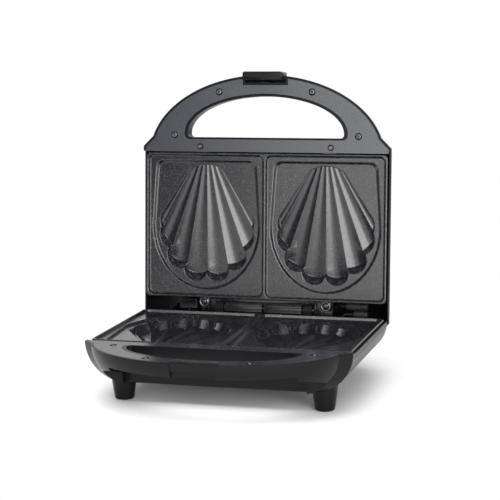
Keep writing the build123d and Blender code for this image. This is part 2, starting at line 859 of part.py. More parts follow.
def thermostat_shape():
    """Round bimetal thermostat with two tabs, pressed against the plate."""
    x, reach = thermostat_place
    top = bulge_floor - part_gap / 6
    low = top - thermostat_height
    can = post(x, reach, thermostat_radius, top, low)
    cap = post(x, reach, thermostat_radius - 2, low, low - thermostat_cap)
    y0, y1 = reach - thermostat_tab_half, reach + thermostat_tab_half
    start, end = thermostat_tab_start, thermostat_tab_end
    tabs = both_sides(lambda s: box(x + s * start, x + s * end, y0, y1, low - thermostat_cap, low - 0.2))
    return can + cap + tabs


def fuse_shape():
    """Thermal fuse in its clip, lying along Y under the plate."""
    x, reach = fuse_place
    z = bulge_floor - fuse_radius - 0.1
    fuse = Pos(x, -reach, z) * Rot(90, 0, 0) * Cylinder(fuse_radius, fuse_length)
    leads = Pos(x, -reach, z) * Rot(90, 0, 0) * Cylinder(fuse_radius / 4, 2.2 * fuse_length)
    return fuse + leads


# Handle panels and screws


def panel_shape(pocket_reach, pegs):
    """Inset panel that closes the handle, with its opening, counterbores and latch gap."""
    inset = wall + panel_gap
    start = shoulder_start(inset)
    end = shoulder_end(inset)
    side = half_width - inset
    step_side = side - ear_step
    arch_side = arch_half_width - inset
    rear = panel_rear_reach
    points = [
        (-step_side, -rear), (-step_side, -ear_step_reach - panel_gap), (-side, -ear_step_reach - panel_gap),
        (-side, -start), (-arch_side, -end), (arch_side, -end), (side, -start),
        (side, -ear_step_reach - panel_gap), (step_side, -ear_step_reach - panel_gap), (step_side, -rear),
    ]
    straight = make_face(Polyline(points, close=True))
    ellipse = Pos(0, -arch_centre_reach) * Ellipse(arch_semi_x - inset, arch_semi_y - inset)
    front = ellipse & Pos(0, -end - far / 2 + 0.01) * Rectangle(2 * arch_side, far)
    panel = plan_prism(straight + front, panel_floor, panel_top)
    gap = panel_hole_gap
    semi_x = hole_semi_x + hole_wall_side + gap
    semi_y = hole_semi_y + hole_wall_top + gap
    low = hole_low_reach - hole_wall_low - gap
    hole = d_outline(semi_x, semi_y, low, hole_corner + hole_wall_low + gap)
    panel -= plan_prism(hole, panel_floor - 1, 5)
    pocket = notch_half_width + wall + panel_gap
    panel -= box(-pocket, pocket, pocket_reach - wall - panel_gap, far, -far / 4, 5)
    for x, reach in handle_screws:
        for s in (1, -1):
            bore = handle_head_diameter / 2 + counterbore_gap / 2
            panel -= post(s * x, reach, bore, panel_top - handle_head_height + 0.6, 5)
            panel -= post(s * x, reach, handle_shank_diameter / 2 + 0.1, panel_floor - 1, 5)
    if pegs:
        for s in (1, -1):
            panel -= post(s * panel_peg_x, panel_peg_reach, panel_peg_stem / 2 + 0.05, panel_floor - 1, 5)
    return panel


def cross_cut(x, reach, top, size, depth):
    """Cross recess in a screw head."""
    arm = size * 0.28
    slot_x = box(x - size / 2, x + size / 2, reach - arm / 2, reach + arm / 2, top - depth, top + 1)
    slot_y = box(x - arm / 2, x + arm / 2, reach - size / 2, reach + size / 2, top - depth, top + 1)
    return slot_x + slot_y


def screw(x, reach, top, head, head_height, shank, length, up):
    """Cross-head screw whose head lies at a level and whose shank runs down, or up."""
    way = 1 if up else -1
    body = post(x, reach, head / 2, top, top + way * head_height)
    rim = body.edges().filter_by(GeomType.CIRCLE).sort_by(Axis.Z)[0 if up else -1]
    body = fillet(rim, radius=head_height * 0.4)
    body += post(x, reach, shank / 2, top + way * head_height, top + way * length)
    cut = cross_cut(x, reach, top, head * 0.6, head_height * 0.5)
    if up:
        cut = mirror(cut, about=Plane(origin=(0, 0, top), z_dir=(0, 0, 1)))
    return body - cut


def handle_screw_shapes():
    """The four screws of a handle panel."""
    head_top = panel_top + 0.6
    length = handle_head_height + handle_shank_length - 1
    screws = []
    for x, reach in handle_screws:
        for s in (1, -1):
            args = (handle_head_diameter, handle_head_height, handle_shank_diameter, length)
            screws.append(screw(s * x, reach, head_top, *args, False))
    return Compound(screws)


def peg_shapes():
    """Two round pegs in the lid's panel."""
    pegs = []
    for s in (1, -1):
        high = panel_top + panel_peg_height
        head = post(s * panel_peg_x, panel_peg_reach, panel_peg_diameter / 2, panel_top, high)
        rim = head.edges().filter_by(GeomType.CIRCLE).sort_by(Axis.Z)[-1]
        head = fillet(rim, radius=panel_peg_height * 0.5)
        stem = post(s * panel_peg_x, panel_peg_reach, panel_peg_stem / 2, panel_top, panel_floor - 1.5)
        pegs.append(head + stem)
    return Compound(pegs)


def post_screw_shapes():
    """Two long screws that hold the base plate, driven from under the body."""
    length = body_depth - reflector_level + post_screw_grip
    screws = []
    for x, reach in post_places:
        head_low = -body_depth + 0.2
        args = (post_head_diameter, post_head_height - 0.2, post_screw_diameter, length)
        screws.append(screw(x, reach, head_low, *args, True))
    return Compound(screws)


# Hinge pieces


def hinge_pin_shape():
    """Steel rod through the lugs and the lid's barrels, with headed ends."""
    half = lug_start + lug_width + 0.1
    pin = rod(-half, half, 0, hinge_z, pin_radius)
    heads = both_sides(lambda s: rod(s * half, s * (half + pin_head_length), 0, hinge_z, pin_head_radius))
    return pin + heads


def saddle_shape():
    """Lid's hinge saddle, upside down: two long ribbed barrels hung from a cross spine."""
    z = -hinge_z
    spine = box(-saddle_half_length, saddle_half_length, saddle_front_reach, saddle_rear_reach,
                -saddle_spine_low, -saddle_spine_high)
    saddle = spine
    for s in (1, -1):
        x0 = s * barrel_start
        x1 = s * barrel_end
        saddle += rod(x0, x1, 0, z, barrel_radius)
        for turn in saddle_ridge_turns:
            place = Vector(0, 0, barrel_radius).rotate(Axis.X, turn)
            saddle += Pos(0, place.Y, place.Z) * rod(x0, x1, 0, z, saddle_ridge_radius)
        saddle += box(x0, x1, saddle_web_front, saddle_web_rear, z, -saddle_spine_low - 1)
        for rib in saddle_ribs:
            x = s * rib
            half = saddle_rib_thickness / 2
            low = -saddle_spine_low - 1
            saddle += box(x - half, x + half, saddle_rib_half, -saddle_rib_half, -saddle_rib_low, low)
        boss_hole = lug_radius + part_gap
        saddle -= post(s * lug_screw_x, lug_screw_reach, boss_hole, 0, -far / 4)
    saddle -= rod(-barrel_end - 1, barrel_end + 1, 0, z, pin_radius + pin_running_gap)
    return saddle


def lug_screw_shapes():
    """The two rear screws of the lid plate."""
    screws = []
    for s in (1, -1):
        args = (lug_head_diameter, lug_head_height - 0.2, lug_shank_diameter, lug_shank_length - 1)
        top = -lug_level + lug_head_height - 0.2
        screws.append(screw(s * lug_screw_x, lug_screw_reach, top, *args, False))
    return Compound(screws)


# Latch pieces


def latch_shape():
    """Hooked latch clip, in the shut lid's upright place."""
    half = latch_width / 2
    rear = latch_front_reach - latch_thickness
    plate = box(-half, half, rear, latch_front_reach, -latch_low, latch_top)
    tooth = side_prism(
        [
            (-rear - fuse_overlap, -latch_low),
            (-latch_tooth_reach - latch_hook_lead, -latch_low),
            (-latch_tooth_reach, -latch_low + latch_hook_lead),
            (-latch_tooth_reach, -latch_low + latch_tooth_height),
            (-rear - fuse_overlap, -latch_low + latch_tooth_height),
        ],
        -half, half)
    boss = rod(-half, half, latch_pin_reach, latch_pin_z, latch_boss_radius)
    neck_low = latch_pin_z - latch_boss_radius
    neck = box(-half, half, latch_pin_reach, rear + fuse_overlap, neck_low, latch_pin_z + latch_boss_radius)
    clip = chamfer(plate.edges().filter_by(Axis.Z).sort_by(Axis.Y)[:2], length=latch_corner)
    clip = chamfer(clip.edges().filter_by(Axis.X).sort_by(Axis.Y)[:2], length=latch_edge)
    clip += tooth + boss + neck
    groove_front = latch_front_reach - latch_groove_front
    groove = box(-half + latch_groove_end, half + 1, groove_front - latch_groove_width, groove_front,
                 -latch_low - 1, -latch_low + latch_groove_depth)
    clip -= groove
    clip -= rod(-half - 1, half + 1, latch_pin_reach, latch_pin_z, latch_pin_radius + pin_running_gap)
    return clip


def latch_pin_shape():
    """Pin that the latch turns on, held in the two cheeks of the lid's recess."""
    half = notch_half_width + wall
    return rod(-half, half, latch_pin_reach, latch_pin_z, latch_pin_radius)


def latch_spring_shape():
    """Flat spring between the lid and the latch, bowed towards the clip."""
    back = lid_notch_reach + 0.05
    t = spring_thickness
    points = [
        (-back, spring_top),
        (-back - t, spring_top),
        (-back - spring_bow - t, spring_bow_level),
        (-back - t, spring_low),
        (-back, spring_low),
        (-back - spring_bow, spring_bow_level),
    ]
    return side_prism(points, -spring_width / 2, spring_width / 2)


# Lamps and wiring


def lens_shape(s):
    """Clear lamp lens in the top of the lid, drawn upside down."""
    x = s * lamp_x
    inner = -body_depth + wall
    stem = post(x, lamp_reach, lens_radius, inner, -body_depth - lens_proud)
    stem = fillet(stem.edges().filter_by(GeomType.CIRCLE).sort_by(Axis.Z)[0], radius=0.8)
    flange = post(x, lamp_reach, lens_flange_radius, inner, inner + lens_flange_thickness)
    return stem + flange


def bulb_shape(s):
    """Small neon lamp behind a lens."""
    x = s * lamp_x
    start = -body_depth + wall + lens_flange_thickness + bulb_gap
    body = post(x, lamp_reach, bulb_radius, start, start + bulb_length)
    return fillet(body.edges().filter_by(GeomType.CIRCLE).sort_by(Axis.Z)[0], radius=1.5)


def gland_shape():
    """Bush that the mains cord would pass through."""
    way = Pos(0, ledge_back, -gland_level) * Rot(-90, 0, 0)
    stem = way * Pos(0, 0, -gland_length / 2 + 0.5) * Cylinder(gland_radius - 0.05, gland_length - 1)
    flange = way * Pos(0, 0, gland_flange / 2) * Cylinder(gland_flange_radius, gland_flange)
    inner = way * Pos(0, 0, -wall - 1.1) * Cylinder(gland_inner_radius, 2)
    bore = way * Cylinder(gland_bore_radius, 4 * gland_length)
    return stem + flange + inner - bore


def terminal_block_shape():
    """Ceramic terminal block on the floor of the base."""
    x, reach = block_place
    low = -body_depth + wall
    block = box(x - block_length / 2, x + block_length / 2, reach - block_width / 2, reach + block_width / 2,
                low, low + block_height)
    for i in (-1, 0, 1):
        block -= post(x + i * block_length / 3.4, reach, 2.2, low + block_height / 2, low + block_height + 1)
    return block


def wire_shape(points, bend):
    """One insulated wire along a route."""
    line = FilletPolyline(*points, radius=bend)
    return tube_along(line, wire_radius)


def base_wire_shapes():
    """Wires between the cord hole, the terminal block and the heating element."""
    x, reach = block_place
    low = -body_depth + wall + block_height / 2
    end = reach - block_width / 2 - 0.2
    low_run = -body_depth + wall + wire_radius + 0.6
    wires = []
    for i in (-1, 0, 1):
        start = at(i * 2.4, -ledge_back + gland_length + 1, -gland_level)
        points = [
            start, start + Vector(0, -4, -1.0 - 0.3 * i), at(x + i * block_length / 3.4, end - 7, low),
            at(x + i * block_length / 3.4, end, low),
        ]
        wires.append(wire_shape(points, 1.5))
    for s in (1, -1):
        far_x = s * (element_x - 12)
        near = x + s * block_length / 3.4
        points = [
            at(near, reach + block_width / 2 + 0.2, low), at(near, reach + block_width / 2 + 9, low_run),
            at(far_x, reach + block_width / 2 + 9, low_run), at(far_x, element_rear_reach + 6, low_run),
        ]
        wires.append(wire_shape(points, 4.0))
    return Compound(wires)


def lid_wire_shapes():
    """Wires from the sleeves to the other side and to the thermostat, drawn upside down."""
    upper, lower = right_sleeves
    left_middle = (left_sleeve[0] + left_sleeve[1]) / 2
    level = -sleeve_level
    x, reach = thermostat_place
    across = [
        at(lower[0] - 0.2, lower[2], level),
        at(lower[0] - lid_wire_run, lower[2], level),
        at(lower[0] - 2 * lid_wire_run, lid_wire_reach, level),
        at(left_middle, lid_wire_reach, level),
        at(left_middle, left_sleeve[2] - left_sleeve_height / 2 - 0.2, level),
    ]
    under = bulge_floor - wire_radius - 1.6
    to_thermostat = [
        at(upper[0] - 0.2, upper[2], level),
        at(upper[0] - 5, upper[2], level),
        at(upper[0] - 8, upper[2] + 2, under),
        at(x, reach - thermostat_radius - probe_wire_run, under),
        at(x, reach - thermostat_radius - 1, under),
    ]
    return Compound([wire_shape(across, 2.4), wire_shape(to_thermostat, 1.6)])


def sleeve_shapes():
    """Heat-proof sleeves over the lid element's connections, drawn upside down."""
    sleeves = []
    for x0, x1, reach in right_sleeves:
        tube = rod(x0, x1, reach, -sleeve_level, sleeve_radius)
        sleeves.append(fillet(tube.edges().filter_by(GeomType.CIRCLE), radius=0.8))
    x0, x1, reach = left_sleeve
    half = left_sleeve_height / 2
    low = -sleeve_level - left_sleeve_depth / 2
    block = box(x0, x1, reach - half, reach + half, low, low + left_sleeve_depth)
    sleeves.append(fillet(block.edges(), radius=1.0))
    return Compound(sleeves)


# Assembly


def opened(shape, drawn_upside_down=True):
    """Turns a lid piece over and swings it open about the hinge."""
    hinge_line = Axis((0, 0, hinge_z), (1, 0, 0))
    solids = [mirror(solid, about=Plane.XY) if drawn_upside_down else solid for solid in shape.solids()]
    turned = [solid.rotate(hinge_line, -open_angle) for solid in solids]
    return turned[0] if len(turned) == 1 else Compound(turned)


def pad_shapes():
    """Soft pads under the four feet, by name."""
    places = {
        "foot_pad_front_right": (foot_x, foot_reach),
        "foot_pad_front_left": (-foot_x, foot_reach),
        "foot_pad_rear_right": (rear_foot_x, rear_foot_reach),
        "foot_pad_rear_left": (-rear_foot_x, rear_foot_reach),
    }
    pads = {}
    for name, (x, reach) in places.items():
        top = -foot_level + pad_seat_depth
        pad = post(x, reach, pad_radius - 0.05, top, top - pad_height)
        pads[name] = chamfer(pad.edges().filter_by(GeomType.CIRCLE).sort_by(Axis.Z)[0], length=0.3)
    return pads


def all_nodes():
    """Every piece of the machine by name, in the working frame with the lid open."""
    element = element_shape()
    reflector = reflector_shape()
    clamps = clamp_shapes()
    thermostat = thermostat_shape()
    fuse = fuse_shape()
    screws = handle_screw_shapes()
    nodes = {
        "base_housing": base_housing_shape(),
        "base_plate": plate_shape(False),
        "base_handle_panel": panel_shape(notch_slot_reach, False),
        "base_handle_screws": screws,
        "base_plate_screws": post_screw_shapes(),
        "base_element": element,
        "base_element_clamps": clamps,
        "base_reflector": reflector,
        "base_thermostat": thermostat,
        "base_thermal_fuse": fuse,
        "terminal_block": terminal_block_shape(),
        "cord_bush": gland_shape(),
        "base_wires": base_wire_shapes(),
        "hinge_pin": hinge_pin_shape(),
        "lid_housing": opened(lid_housing_shape()),
        "lid_plate": opened(plate_shape(True)),
        "lid_handle_panel": opened(panel_shape(lid_notch_reach, True)),
        "lid_handle_screws": opened(screws),
        "lid_panel_pegs": opened(peg_shapes()),
        "lid_plate_screws": opened(lug_screw_shapes()),
        "lid_element": opened(element),
        "lid_element_clamps": opened(clamps),
        "lid_reflector": opened(reflector),
        "lid_thermostat": opened(thermostat),
        "lid_terminal_sleeves": opened(sleeve_shapes()),
        "lid_wires": opened(lid_wire_shapes()),
        "hinge_saddle": opened(saddle_shape()),
        "power_lamp_lens": opened(lens_shape(-1)),
        "ready_lamp_lens": opened(lens_shape(1)),
        "power_lamp": opened(bulb_shape(-1)),
        "ready_lamp": opened(bulb_shape(1)),
        "latch_clip": opened(latch_shape(), False),
        "latch_pin": opened(latch_pin_shape(), False),
        "latch_spring": opened(latch_spring_shape(), False),
    }
    nodes.update(pad_shapes())
    return nodes


def main():
    """Builds every piece, moves the machine onto its origin and writes one file per piece."""
    os.makedirs("parts", exist_ok=True)
    nodes = all_nodes()
    whole = Compound(list(nodes.values())).bounding_box()
    shift = Pos(-whole.center().X, -whole.center().Y, -whole.min.Z)
    print("size", whole.size, "shift", -whole.center().X, -whole.center().Y, -whole.min.Z)
    for name, shape in nodes.items():
        placed = shift * shape
        export_step(placed, os.path.join("parts", name + ".step"))
        print(name, round(placed.volume), "mm3")


main()
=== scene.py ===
"""Scallop sandwich maker with its lid open, dressed and lit for its portrait.

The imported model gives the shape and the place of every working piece. This script adds the fine
pieces that a close look shows, gives each surface its finish, and sets the table, the light and the
camera.
"""
import json
import logging
import math
from dataclasses import dataclass
from enum import Enum
from typing import Callable, Iterable, Sequence

import bmesh
import bpy
from mathutils import Matrix, Vector


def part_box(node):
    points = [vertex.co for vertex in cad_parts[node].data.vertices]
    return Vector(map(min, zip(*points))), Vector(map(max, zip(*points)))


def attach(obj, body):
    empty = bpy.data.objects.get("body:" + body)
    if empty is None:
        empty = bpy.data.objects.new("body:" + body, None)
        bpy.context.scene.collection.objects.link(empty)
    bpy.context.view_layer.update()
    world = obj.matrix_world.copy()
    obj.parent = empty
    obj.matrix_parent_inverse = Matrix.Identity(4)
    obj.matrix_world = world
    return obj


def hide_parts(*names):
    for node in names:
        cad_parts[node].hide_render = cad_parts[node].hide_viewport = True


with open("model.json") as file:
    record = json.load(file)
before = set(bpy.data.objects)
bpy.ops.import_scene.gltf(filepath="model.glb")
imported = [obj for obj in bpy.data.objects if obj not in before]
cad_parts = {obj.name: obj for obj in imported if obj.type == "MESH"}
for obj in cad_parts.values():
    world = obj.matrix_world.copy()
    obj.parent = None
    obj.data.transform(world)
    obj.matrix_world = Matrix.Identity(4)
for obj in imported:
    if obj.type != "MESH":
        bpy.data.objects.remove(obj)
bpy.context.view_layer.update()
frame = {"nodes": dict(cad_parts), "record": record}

LOG = logging.getLogger("sandwich_maker")
MM = 0.001
UPWARD = Vector((0.0, 0.0, 1.0))
DOWNWARD = -UPWARD
FACING = 0.9  # least cosine of a face that looks a given way
TOUCHING = 1e-7  # metres
WELDED = 1e-6  # metres
MIX_FIRST, MIX_SECOND, MIX_RESULT = 6, 7, 2  # colour sockets of the mix node
WHITE = (1.0, 1.0, 1.0, 1.0)

Colour = tuple[float, float, float]


class Half(Enum):
    """The two halves of the machine."""

    BASE = "base"
    LID = "lid"


class Look(Enum):
    """How a surface is finished."""

    MOULDED = "moulded"
    COATED = "coated"
    METAL = "metal"
    CLEAR = "clear"


# Finishes


@dataclass(frozen=True)
class Finish:
    """One finish: its colour, gloss and the fine detail of its surface."""

    name: str
    look: Look
    colour: Colour
    roughness: float
    metallic: float = 0.0
    specular: float = 0.5
    grain_size: float = 0.0006
    grain_depth: float = 0.00002
    mottle: float = 0.12
    rough_spread: float = 0.06
    # edge_light: strength of the painted highlight along edges
    edge_light: float = 0.0
    edge_round: float = 0.0004
    dust: float = 0.0
    transmission: float = 0.0


HOUSING = Finish("housing_plastic", Look.MOULDED, (0.0045, 0.0045, 0.005), 0.3, specular=0.13,
                 grain_size=0.0009, grain_depth=0.000012, edge_light=0.1, edge_round=0.0005)
PANEL = Finish("panel_plastic", Look.MOULDED, (0.015, 0.0165, 0.02), 0.27, specular=0.85, rough_spread=0.02,
               grain_size=0.0014, grain_depth=0.000001, mottle=0.06, edge_light=0.2, edge_round=0.0004,
               dust=0.01)
LATCH = Finish("latch_plastic", Look.MOULDED, (0.004, 0.004, 0.0045), 0.16, specular=0.1, grain_size=0.001,
               grain_depth=0.00001, edge_light=0.15, edge_round=0.0005, dust=0.01)
COATING = Finish("plate_coating", Look.COATED, (0.006, 0.006, 0.0072), 0.2, specular=0.65,
                 grain_size=0.0009, grain_depth=0.00005, mottle=0.15, rough_spread=0.06, edge_light=1.2,
                 edge_round=0.0012)
# painted shade: near-black rings that stand in for the shade in the gap round each screw head and peg
PAINTED_SHADE_RING = Finish("painted_shade_ring", Look.MOULDED, (0.002, 0.002, 0.002), 0.6, specular=0.05,
                grain_size=0.0006, grain_depth=0.00001)
BEAD = Finish("bead_steel", Look.METAL, (0.3, 0.3, 0.31), 0.25, metallic=1.0, grain_size=0.0006,
              grain_depth=0.000004)
SADDLE = Finish("saddle_plastic", Look.MOULDED, (0.008, 0.008, 0.0085), 0.22, specular=0.35,
                grain_size=0.0009, grain_depth=0.00001, edge_light=0.2, edge_round=0.0003, dust=0.02)
BLACK_STEEL = Finish("black_steel", Look.METAL, (0.14, 0.14, 0.145), 0.34, metallic=1.0, grain_size=0.0005,
                     grain_depth=0.00001, edge_light=0.5, edge_round=0.00025)
STEEL = Finish("bright_steel", Look.METAL, (0.56, 0.56, 0.57), 0.3, metallic=1.0, grain_size=0.0004,
               grain_depth=0.00001, edge_light=0.3, edge_round=0.0002)
PIN_STEEL = Finish("blued_steel", Look.METAL, (0.07, 0.07, 0.075), 0.32, metallic=1.0, grain_size=0.0004,
                   grain_depth=0.00001, edge_light=0.3, edge_round=0.0002)
SHEET = Finish("aluminised_sheet", Look.METAL, (0.72, 0.72, 0.73), 0.36, metallic=1.0, grain_size=0.003,
               grain_depth=0.00004, edge_light=0.2, edge_round=0.0003)
HEATER = Finish("heater_sheath", Look.METAL, (0.26, 0.25, 0.24), 0.45, metallic=0.9, grain_size=0.0008,
                grain_depth=0.00003, mottle=0.35)
CERAMIC = Finish("glazed_ceramic", Look.MOULDED, (0.78, 0.76, 0.7), 0.28, grain_size=0.001,
                 grain_depth=0.00002)
SLEEVE = Finish("woven_sleeve", Look.MOULDED, (0.012, 0.012, 0.013), 0.5, specular=0.2, grain_size=0.0007,
                grain_depth=0.00008, mottle=0.3, dust=0.03)
WIRE = Finish("silicone_wire", Look.MOULDED, (0.008, 0.008, 0.009), 0.5, specular=0.2, grain_size=0.001,
              grain_depth=0.00001)
RUBBER = Finish("black_rubber", Look.MOULDED, (0.014, 0.014, 0.014), 0.7, grain_size=0.0006,
                grain_depth=0.00006, dust=0.06)
LENS_RED = Finish("red_lens", Look.CLEAR, (0.55, 0.03, 0.025), 0.08, transmission=0.7)
LENS_GREEN = Finish("green_lens", Look.CLEAR, (0.04, 0.42, 0.08), 0.08, transmission=0.7)
BULB = Finish("bulb_glass", Look.CLEAR, (0.9, 0.86, 0.8), 0.05, transmission=0.9)


class NodeGroups:
    """Shader node groups that several finishes share."""

    SLOW_SCALE, SLOW_DETAIL = 26.0, 5.0
    FINE_SCALE, FINE_DETAIL = 420.0, 3.0
    GRAIN_DETAIL, GRAIN_ROUGHNESS = 4.0, 0.6
    FLECK_RIM, FLECK_CORE = 0.34, 0.12
    EDGE_FROM, EDGE_TO = 0.995, 0.85
    DUST_SCALE, DUST_DETAIL, DUST_ROUGHNESS = 60.0, 8.0, 0.75
    DUST_FROM, DUST_TO = 0.45, 0.75
    DUST_COLOUR = (0.5, 0.5, 0.5, 1.0)

    def __init__(self) -> None:
        """Builds every group once."""
        self.mottle = self._mottle()
        self.grain = self._grain()
        self.speckle = self._speckle()
        self.painted_edge_highlight = self._painted_edge_highlight()
        self.dust = self._dust()

    @staticmethod
    def _new(name: str, inputs: Sequence[tuple[str, str, object]],
             outputs: Sequence[tuple[str, str]]) -> bpy.types.NodeTree:
        """Makes an empty group with its sockets.

        Args:
            name: The group's name.
            inputs: Name, socket type and default of each input.
            outputs: Name and socket type of each output.

        Returns:
            The new node tree.
        """
        tree = bpy.data.node_groups.new(name, "ShaderNodeTree")
        for label, kind, default in inputs:
            socket = tree.interface.new_socket(name=label, in_out="INPUT", socket_type=kind)
            if default is not None:
                socket.default_value = default
        for label, kind in outputs:
            tree.interface.new_socket(name=label, in_out="OUTPUT", socket_type=kind)
        tree.nodes.new("NodeGroupInput").name = "in"
        tree.nodes.new("NodeGroupOutput").name = "out"
        return tree

    def _mottle(self) -> bpy.types.NodeTree:
        """Slow variation of a colour and of the gloss over the surface."""
        tree = self._new("mottle", [
            ("Vector", "NodeSocketVector", None),
            ("Colour", "NodeSocketColor", (0.5, 0.5, 0.5, 1.0)),
            ("Amount", "NodeSocketFloat", 0.1),
            ("Roughness", "NodeSocketFloat", 0.4),
            ("Spread", "NodeSocketFloat", 0.05),
        ], [("Colour", "NodeSocketColor"), ("Roughness", "NodeSocketFloat")])
        nodes, links = tree.nodes, tree.links
        source = nodes["in"]
        slow = nodes.new("ShaderNodeTexNoise")
        slow.inputs["Scale"].default_value = self.SLOW_SCALE
        slow.inputs["Detail"].default_value = self.SLOW_DETAIL
        links.new(source.outputs["Vector"], slow.inputs["Vector"])
        fine = nodes.new("ShaderNodeTexNoise")
        fine.inputs["Scale"].default_value = self.FINE_SCALE
        fine.inputs["Detail"].default_value = self.FINE_DETAIL
        links.new(source.outputs["Vector"], fine.inputs["Vector"])
        both = nodes.new("ShaderNodeMath")
        both.operation = "ADD"
        links.new(slow.outputs["Fac"], both.inputs[0])
        links.new(fine.outputs["Fac"], both.inputs[1])
        centred = nodes.new("ShaderNodeMath")
        centred.operation = "SUBTRACT"
        centred.inputs[1].default_value = 1.0
        links.new(both.outputs[0], centred.inputs[0])
        gain = nodes.new("ShaderNodeMath")
        gain.operation = "MULTIPLY_ADD"
        gain.inputs[2].default_value = 1.0
        links.new(centred.outputs[0], gain.inputs[0])
        links.new(source.outputs["Amount"], gain.inputs[1])
        scale = nodes.new("ShaderNodeVectorMath")
        scale.operation = "SCALE"
        links.new(source.outputs["Colour"], scale.inputs[0])
        links.new(gain.outputs[0], scale.inputs["Scale"])
        links.new(scale.outputs[0], nodes["out"].inputs["Colour"])
        rough = nodes.new("ShaderNodeMath")
        rough.operation = "MULTIPLY_ADD"
        links.new(centred.outputs[0], rough.inputs[0])
        links.new(source.outputs["Spread"], rough.inputs[1])
        links.new(source.outputs["Roughness"], rough.inputs[2])
        links.new(rough.outputs[0], nodes["out"].inputs["Roughness"])
        return tree

    def _grain(self) -> bpy.types.NodeTree:
        """Height of a fine moulded or cast grain."""
        tree = self._new("grain", [
            ("Vector", "NodeSocketVector", None),
            ("Scale", "NodeSocketFloat", 1000.0),
        ], [("Height", "NodeSocketFloat")])
        nodes, links = tree.nodes, tree.links
        noise = nodes.new("ShaderNodeTexNoise")
        noise.inputs["Detail"].default_value = self.GRAIN_DETAIL
        noise.inputs["Roughness"].default_value = self.GRAIN_ROUGHNESS
        links.new(nodes["in"].outputs["Vector"], noise.inputs["Vector"])
        links.new(nodes["in"].outputs["Scale"], noise.inputs["Scale"])
        links.new(noise.outputs["Fac"], nodes["out"].inputs["Height"])
        return tree

    def _speckle(self) -> bpy.types.NodeTree:
        """Small pale flecks scattered through a sprayed coating."""
        tree = self._new("speckle", [
            ("Vector", "NodeSocketVector", None),
            ("Colour", "NodeSocketColor", (0.1, 0.1, 0.1, 1.0)),
            ("Fleck", "NodeSocketColor", (0.3, 0.3, 0.3, 1.0)),
            ("Scale", "NodeSocketFloat", 700.0),
            ("Share", "NodeSocketFloat", 0.3),
        ], [("Colour", "NodeSocketColor"), ("Mask", "NodeSocketFloat")])
        nodes, links = tree.nodes, tree.links
        source = nodes["in"]
        cells = nodes.new("ShaderNodeTexVoronoi")
        links.new(source.outputs["Vector"], cells.inputs["Vector"])
        links.new(source.outputs["Scale"], cells.inputs["Scale"])
        near = nodes.new("ShaderNodeMapRange")
        near.inputs["From Min"].default_value = self.FLECK_RIM
        near.inputs["From Max"].default_value = self.FLECK_CORE
        links.new(cells.outputs["Distance"], near.inputs["Value"])
        pick = nodes.new("ShaderNodeSeparateColor")
        links.new(cells.outputs["Color"], pick.inputs[0])
        chosen = nodes.new("ShaderNodeMath")
        chosen.operation = "LESS_THAN"
        links.new(pick.outputs[0], chosen.inputs[0])
        links.new(source.outputs["Share"], chosen.inputs[1])
        mask = nodes.new("ShaderNodeMath")
        mask.operation = "MULTIPLY"
        links.new(near.outputs[0], mask.inputs[0])
        links.new(chosen.outputs[0], mask.inputs[1])
        mix = nodes.new("ShaderNodeMix")
        mix.data_type = "RGBA"
        links.new(mask.outputs[0], mix.inputs["Factor"])
        links.new(source.outputs["Colour"], mix.inputs[MIX_FIRST])
        links.new(source.outputs["Fleck"], mix.inputs[MIX_SECOND])
        links.new(mix.outputs[MIX_RESULT], nodes["out"].inputs["Colour"])
        links.new(mask.outputs[0], nodes["out"].inputs["Mask"])
        return tree

    def _painted_edge_highlight(self) -> bpy.types.NodeTree:
        """Paints a highlight along edges: lightens a colour where a rounded normal leaves the flat one."""
        tree = self._new("painted_edge_highlight", [
            ("Rounded", "NodeSocketVector", None),
            ("Flat", "NodeSocketVector", None),
            ("Colour", "NodeSocketColor", (0.1, 0.1, 0.1, 1.0)),
            ("Strength", "NodeSocketFloat", 0.2),
        ], [("Colour", "NodeSocketColor")])
        nodes, links = tree.nodes, tree.links
        source = nodes["in"]
        dot = nodes.new("ShaderNodeVectorMath")
        dot.operation = "DOT_PRODUCT"
        links.new(source.outputs["Rounded"], dot.inputs[0])
        links.new(source.outputs["Flat"], dot.inputs[1])
        edge = nodes.new("ShaderNodeMapRange")
        edge.inputs["From Min"].default_value = self.EDGE_FROM
        edge.inputs["From Max"].default_value = self.EDGE_TO
        links.new(dot.outputs["Value"], edge.inputs["Value"])
        gain = nodes.new("ShaderNodeMath")
        gain.operation = "MULTIPLY"
        links.new(edge.outputs[0], gain.inputs[0])
        links.new(source.outputs["Strength"], gain.inputs[1])
        lift = nodes.new("ShaderNodeMath")
        lift.operation = "ADD"
        lift.inputs[1].default_value = 1.0
        links.new(gain.outputs[0], lift.inputs[0])
        scale = nodes.new("ShaderNodeVectorMath")
        scale.operation = "SCALE"
        links.new(source.outputs["Colour"], scale.inputs[0])
        links.new(lift.outputs[0], scale.inputs["Scale"])
        links.new(scale.outputs[0], nodes["out"].inputs["Colour"])
        return tree

